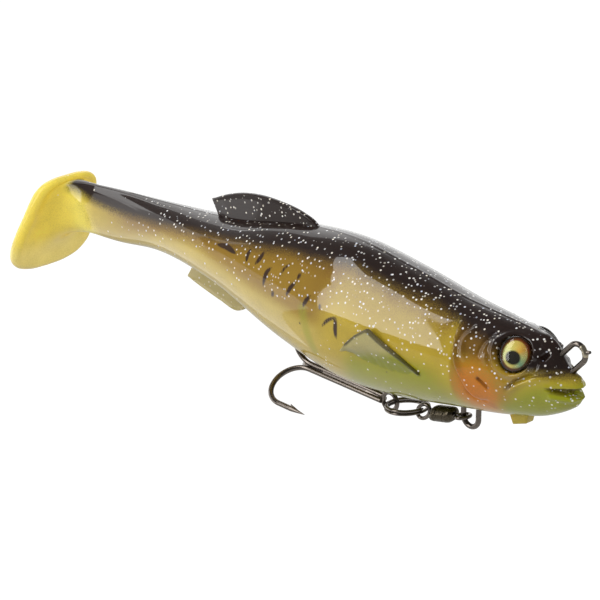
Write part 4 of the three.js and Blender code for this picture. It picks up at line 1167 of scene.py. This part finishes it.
def build_barrel():
    """Drawn barrel with rolled shoulders, two shallow grooves and a mouth at each end."""
    front = [(0, 0.5), (0, 0.85), (0.06, 1.2), (0.3, 1.42), (0.75, 1.7), (1.3, 1.8), (1.75, 1.8), (1.9, 1.68),
             (2.05, 1.8)]
    profile = front + [(BARREL_LENGTH - along, radius) for along, radius in reversed(front)]
    rings = 90

    def shape(ring, turn):
        along, radius = point_along(profile, np.clip((ring - 1) / (rings - 2), 0, 1), smooth=False)
        radius = np.where((ring == 0) | (ring == rings), 0, radius)
        along = along + np.where(ring == 0, 0.25, 0) - np.where(ring == rings, 0.25, 0)
        return on_link(BARREL_START + along, radius * np.sin(turn), radius * np.cos(turn))

    return sphere_to("barrel_shell", rings, 64, shape)


class SWIMBAIT_OT_swivel(bpy.types.Operator):
    """Makes the barrel swivel that hangs from the belly"""
    bl_idname = "swimbait.swivel"
    bl_label = "Barrel Swivel"

    def execute(self, context):
        metal = context.scene.swimbait_hardware
        plating = black_nickel("black_nickel_swivel", metal.plating)
        brass = black_nickel("oxidised_brass_barrel", metal.barrel, roughness=0.26)
        for name, at, radius, face, level, node, body in (
                ("swivel_eye_front", FRONT_EYE, 1.4, 1, True, "swivel_front_eye", "swivel_front"),
                ("swivel_eye_rear", REAR_EYE, 1.6, -1, False, "swivel_rear_eye", "swivel_rear")):
            eye = build_swivel_eye(name, at, radius, face, level)
            finish_piece(eye, plating, "black_nickel", node, angle=60)
            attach(eye, body)
        barrel = build_barrel()
        finish_piece(barrel, brass, "swivel_body", "swivel_barrel", angle=35)
        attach(barrel, "barrel")
        return {"FINISHED"}


# ------------------------------------------------------------------ split ring and treble

RING_CENTRE, RING_RADIUS, RING_TILT = (43.387, -14.195), 4.15, math.radians(4)


class SWIMBAIT_OT_split_ring(bpy.types.Operator):
    """Winds the split ring out of flattened spring wire"""
    bl_idname = "swimbait.split_ring"
    bl_label = "Split Ring"

    def execute(self, context):
        metal = context.scene.swimbait_hardware
        turns, pitch = 1.9, 0.66
        coil = []
        for t in np.linspace(0, 1, 150):
            angle = 2 * math.pi * turns * t + 0.6
            x, lift = -RING_RADIUS * math.cos(angle), pitch * turns * (t - 0.5)
            coil.append((RING_CENTRE[0] + x * math.cos(RING_TILT) - lift * math.sin(RING_TILT),
                         RING_RADIUS * math.sin(angle),
                         RING_CENTRE[1] - x * math.sin(RING_TILT) + lift * math.cos(RING_TILT)))
        ends = np.clip(np.minimum(np.arange(150), np.arange(150)[::-1]) / 4 + 0.45, 0, 1)
        ring = wire_to("split_ring_coil", coil, 0.29 * MM, taper=ends, sides=6)
        # The wire is rolled flat: wider across the ring than along its axis.
        behind, side, up = measure(ring)
        x, z = behind - RING_CENTRE[0], up - RING_CENTRE[1]
        flat_x = x * math.cos(RING_TILT) - z * math.sin(RING_TILT)
        reach = np.hypot(flat_x, side)
        grow = (RING_RADIUS + (reach - RING_RADIUS) * 1.35) / reach
        lift = x * math.sin(RING_TILT) + z * math.cos(RING_TILT)
        x = flat_x * grow
        move_points(ring, place(np.stack([
            RING_CENTRE[0] + x * math.cos(RING_TILT) + lift * math.sin(RING_TILT), side * grow,
            RING_CENTRE[1] - x * math.sin(RING_TILT) + lift * math.cos(RING_TILT)], axis=1)))
        finish_piece(ring, black_nickel("black_nickel_spring", metal.plating, roughness=0.16), "black_nickel",
                     "split_ring", angle=50)
        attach(ring, "ring")
        return {"FINISHED"}


HOOK_EYE, HOOK_LIFT = (48.007, -14.485), math.radians(2.5)
SHANK, GAPE, POINT = 21.8, 9.8, 7.3


def on_hook(back, out, turn, aside=0.0):
    """A point of the treble: mm behind its eye, mm off its axis, arm angle and mm to the side."""
    side = out * math.sin(turn) + aside * math.cos(turn)
    up = out * math.cos(turn) - aside * math.sin(turn)
    return (HOOK_EYE[0] + back * math.cos(HOOK_LIFT) - up * math.sin(HOOK_LIFT), side,
            HOOK_EYE[1] + back * math.sin(HOOK_LIFT) + up * math.cos(HOOK_LIFT))


def build_treble_arm(name, turn, radius):
    """Shank, round bend, and a needle point with its barb cut on the inside."""
    close = 0.635
    route = [(1.9, close)] + [(b, close) for b in np.linspace(3, SHANK, 16)]
    for a in np.linspace(0, math.pi, 33)[1:]:
        route.append((SHANK + GAPE / 2 * math.sin(a), close + GAPE / 2 * (1 - math.cos(a))))
    inner = close + GAPE
    reach = np.linspace(0.6, POINT, 24)
    tip = [(SHANK - t, inner) for t in reach]
    needle = [min(1, 0.06 + (1 - (t / POINT)) * 1.9) ** 0.85 for t in reach]
    points = [on_hook(b, o, turn) for b, o in route + tip]
    arm = wire_to(name, points, radius, taper=[1.0] * len(route) + needle, sides=7)
    barb = wire_to(f"{name}_barb", [on_hook(SHANK - b, inner - o, turn) for b, o in (
        (5.1, 0.05), (4.2, 0.3), (3.3, 0.62), (2.6, 0.95))], 0.34 * MM, taper=[1, 0.95, 0.6, 0.08], sides=4)
    return [arm, barb]


class SWIMBAIT_OT_treble(bpy.types.Operator):
    """Forges the treble hook: three wires brazed together with an eye at the front"""
    bl_idname = "swimbait.treble"
    bl_label = "Treble Hook"

    def execute(self, context):
        metal = context.scene.swimbait_hardware
        parts = []
        for k in range(3):
            parts += build_treble_arm(f"arm_{k}", k * 2 * math.pi / 3, metal.hook_wire)
        angles = np.linspace(0, 2 * math.pi, 49)[:-1]
        eye = [(HOOK_EYE[0] + 1.85 * math.cos(a), 0, HOOK_EYE[1] + 1.85 * math.sin(a)) for a in angles]
        parts.append(wire_to("hook_eye", eye, 0.48 * MM, closed=True))
        rings = 60
        parts.append(sphere_to("braze", rings, 36, lambda ring, turn: braze_shape(ring / rings, turn)))
        hook = join("treble", *parts)
        finish_piece(hook, black_nickel("black_nickel_hook", metal.plating, roughness=0.18), "black_nickel",
                     "treble_hook", angle=60)
        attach(hook, "hook")
        return {"FINISHED"}


def braze_shape(share, turn):
    """Braze that fills the grooves between the three wires and swells a little behind the eye."""
    back = 1.7 + (SHANK - 1.2) * share
    lobes = 0.8 + 0.1 * np.cos(3 * turn)
    swell = 1 + 0.2 * bump(back - 2.6, 0.9)
    radius = np.minimum(1, 5 * np.minimum(share, 1 - share)) ** 0.5 * lobes * swell
    return on_hook(back, radius * np.cos(turn), 0.0, radius * np.sin(turn))


# ------------------------------------------------------------------ pieces inside the body

class SWIMBAIT_OT_inner_parts(bpy.types.Operator):
    """Gives the crimp, keel weight and magnet inside the body their metals"""
    bl_idname = "swimbait.inner_parts"
    bl_label = "Weight, Magnet and Crimp"

    def execute(self, context):
        for node, finish in (
                ("crimp_sleeve", cast_metal("aluminium_crimp_pressed", "#9a9a98", "#b9b9b6", 0.35, 0.4 * MM)),
                ("keel_weight", cast_metal("lead_alloy_cast", "#55575a", "#7c7e82", 0.5, 0.8 * MM)),
                ("belly_magnet", cast_metal("nickel_plated_magnet", "#b4b3ae", "#cfcdc6", 0.2, 0.6 * MM))):
            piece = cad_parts[node]
            piece.data.materials.clear()
            piece.data.materials.append(finish)
        return {"FINISHED"}


# ------------------------------------------------------------------ stage

CAMERA_TARGET = Vector((-71.4, 0, -8.9)) * MM
CAMERA_DISTANCE, CAMERA_AZIMUTH, CAMERA_ELEVATION, CAMERA_LENS = 0.56, 45, 21, 168


def softbox(name, centre, long_side, short_side, radiance):
    """A rectangular lamp that shines from centre towards the lure, hidden from the camera."""
    long_side, short_side = Vector(long_side), Vector(short_side)
    bpy.ops.object.light_add(type="AREA", location=centre)
    lamp = bpy.context.object
    lamp.name = name
    x, y = long_side.normalized(), short_side.normalized()
    y = (y - x * y.dot(x)).normalized()
    z = x.cross(y)
    if z.dot(Vector(centre) - CAMERA_TARGET) < 0:
        y, z = -y, -z
    lamp.rotation_euler = Matrix((x, y, z)).transposed().to_euler()
    lamp.data.shape = "RECTANGLE"
    lamp.data.size, lamp.data.size_y = long_side.length, short_side.length
    lamp.data.energy = radiance * math.pi * long_side.length * short_side.length
    lamp.visible_camera = False
    return lamp


def glowing_panel(name, corners, radiance):
    """A softbox of diffusion cloth with its corners in order, hidden from the camera."""
    clear_selection()
    bpy.ops.mesh.primitive_circle_add(vertices=len(corners), fill_type="NGON")
    panel = bpy.context.object
    panel.name = name
    move_points(panel, corners)
    material, tree = new_material(f"{name}_cloth")
    glow = add(tree, "Emission", {"Color": (1, 1, 1, 1), "Strength": radiance})
    add(tree, "OutputMaterial", {"Surface": glow})
    panel.data.materials.append(material)
    panel.visible_camera = False


def white_behind(tree, shader, strength, mirrored):
    """Adds a white glow that only camera rays and, as mirrored says, mirror and glass rays see."""
    path = add(tree, "LightPath", out=None)
    seen = add(tree, "Math", {0: path["Is Glossy Ray"], 1: path["Is Transmission Ray"]}, operation="MAXIMUM")
    seen = add(tree, "Math", {0: seen, 1: mirrored}, operation="MULTIPLY")
    seen = add(tree, "Math", {0: path["Is Camera Ray"], 1: strength, 2: seen}, operation="MULTIPLY_ADD")
    glow = add(tree, "Emission", {"Color": (1, 1, 1, 1), "Strength": seen})
    return add(tree, "AddShader", {0: shader, 1: glow})


class SWIMBAIT_OT_stage(bpy.types.Operator):
    """Sets up the floor, softboxes, room light and camera"""
    bl_idname = "swimbait.stage"
    bl_label = "Stage"

    def execute(self, context):
        light = context.scene.swimbait_stage
        clear_selection()
        bpy.ops.mesh.primitive_plane_add(size=6, location=(0, 0, cad_box[0].z - light.floor_drop))
        floor = bpy.context.object
        floor.name = "floor"
        material, tree = new_material("matt_white_paper")
        here = add(tree, "TexCoord", out="Object")
        fibre = add(tree, "TexNoise", {"Vector": here, "Scale": 400.0, "Detail": 4.0})
        tint = add(tree, "ValToRGB", {0: fibre}, stops=[(0.0, "#a9a9a7"), (1.0, "#b2b2b0")])
        paper = add(tree, "BsdfDiffuse", {"Color": tint})
        add(tree, "OutputMaterial", {"Surface": white_behind(tree, paper, 0.72, 0.25)})
        floor.data.materials.append(material)

        # The side softbox is flagged off along its rear edge, which the flank mirrors.
        glowing_panel("side_softbox", [
            (-0.25, -0.63, 0.04), (-0.27, -0.31, 0.54), (-0.35, -0.25, 0.52), (-0.45, -0.11, 0.63),
            (-0.455, -0.18, 0.50), (-0.40, -0.33, 0.33), (-0.40, -0.41, 0.19), (-0.51, -0.50, -0.11)],
            light.strip_light)
        glowing_panel("tail_card", [
            (-0.205, -0.05, 0.024), (-0.205, -0.038, 0.05), (-0.205, 0.03, 0.08), (-0.205, 0.002, 0.055)],
            light.tail_light)
        softbox("tail_softbox", (-0.571, -0.125, -0.114), (0, 0.336, 0.434), (0, 0.4, -0.373),
                light.card_light)
        softbox("back_softbox", (-0.60, 0.42, 0.25), (0.35, 0.50, 0), (0, 0, 0.74), light.rim_light)

        world = bpy.data.worlds.new("studio")
        world.use_nodes = True
        tree = world.node_tree
        tree.nodes.clear()
        ray = add(tree, "TexCoord", out="Generated")
        facing = add(tree, "VectorMath", {0: ray, 1: (-0.66, 0.66, -0.36)}, operation="DOT_PRODUCT",
                     out="Value")
        # Mirrors see a dim room that brightens away from the camera, matt surfaces an even light.
        room = add(tree, "MapRange", {"Value": facing, "From Min": 0.2, "From Max": 0.6,
                                      "To Min": light.room_light, "To Max": 0.45},
                   interpolation_type="SMOOTHSTEP", out="Result")
        path = add(tree, "LightPath", out=None)
        ahead = add(tree, "VectorMath", {0: ray, 1: (1.0, 0.0, 0.0)}, operation="DOT_PRODUCT", out="Value")
        soft = add(tree, "Math", {0: ahead, 1: 0.22 * light.soft_light, 2: light.soft_light},
                   operation="MULTIPLY_ADD")
        level = add(tree, "Mix", {0: path["Is Glossy Ray"], 2: soft, 3: room})
        level = add(tree, "Mix", {0: path["Is Camera Ray"], 2: level, 3: 1.0})
        back = add(tree, "Background", {"Color": (1, 1, 1, 1), "Strength": level})
        add(tree, "OutputWorld", {"Surface": back})
        context.scene.world = world

        azimuth, elevation = math.radians(CAMERA_AZIMUTH), math.radians(CAMERA_ELEVATION)
        back = Vector((math.sin(azimuth) * math.cos(elevation), -math.cos(azimuth) * math.cos(elevation),
                       math.sin(elevation)))
        bpy.ops.object.camera_add(location=CAMERA_TARGET + back * CAMERA_DISTANCE)
        camera = context.object
        camera.name = "camera"
        camera.rotation_euler = (-back).to_track_quat("-Z", "Y").to_euler()
        camera.data.sensor_width, camera.data.lens = 36, CAMERA_LENS
        camera.data.clip_start, camera.data.clip_end = 0.01, 20
        context.scene.camera = camera
        context.scene.view_settings.view_transform = "Standard"
        return {"FINISHED"}


# ------------------------------------------------------------------ panel and registration

OPERATORS = (SWIMBAIT_OT_body, SWIMBAIT_OT_fins, SWIMBAIT_OT_eyes, SWIMBAIT_OT_line_tie, SWIMBAIT_OT_swivel,
             SWIMBAIT_OT_split_ring, SWIMBAIT_OT_treble, SWIMBAIT_OT_inner_parts, SWIMBAIT_OT_stage)
GROUPS = (("swimbait_paint", SwimbaitPaint), ("swimbait_hardware", SwimbaitHardware),
          ("swimbait_stage", SwimbaitStage))


class SWIMBAIT_PT_build(bpy.types.Panel):
    """Settings and build steps of the swimbait"""
    bl_idname = "SWIMBAIT_PT_build"
    bl_label = "Swimbait"
    bl_space_type = "VIEW_3D"
    bl_region_type = "UI"
    bl_category = "Swimbait"

    def draw(self, context):
        for name, group in GROUPS:
            box = self.layout.box()
            settings = getattr(context.scene, name)
            for key in group.__annotations__:
                box.prop(settings, key)
        for operator in OPERATORS:
            self.layout.operator(operator.bl_idname)


CLASSES = tuple(group for _, group in GROUPS) + OPERATORS + (SWIMBAIT_PT_build,)


def register():
    for cls in CLASSES:
        bpy.utils.register_class(cls)
    for name, group in GROUPS:
        setattr(bpy.types.Scene, name, PointerProperty(type=group))


def unregister():
    for name, _ in GROUPS:
        delattr(bpy.types.Scene, name)
    for cls in reversed(CLASSES):
        bpy.utils.unregister_class(cls)


def main():
    """Builds every piece in order."""
    register()
    for operator in OPERATORS:
        group, name = operator.bl_idname.split(".")
        if getattr(getattr(bpy.ops, group), name)() != {"FINISHED"}:
            raise RuntimeError(f"{operator.bl_idname} did not finish")
    clear_selection()


if __name__ == "__main__":
    main()
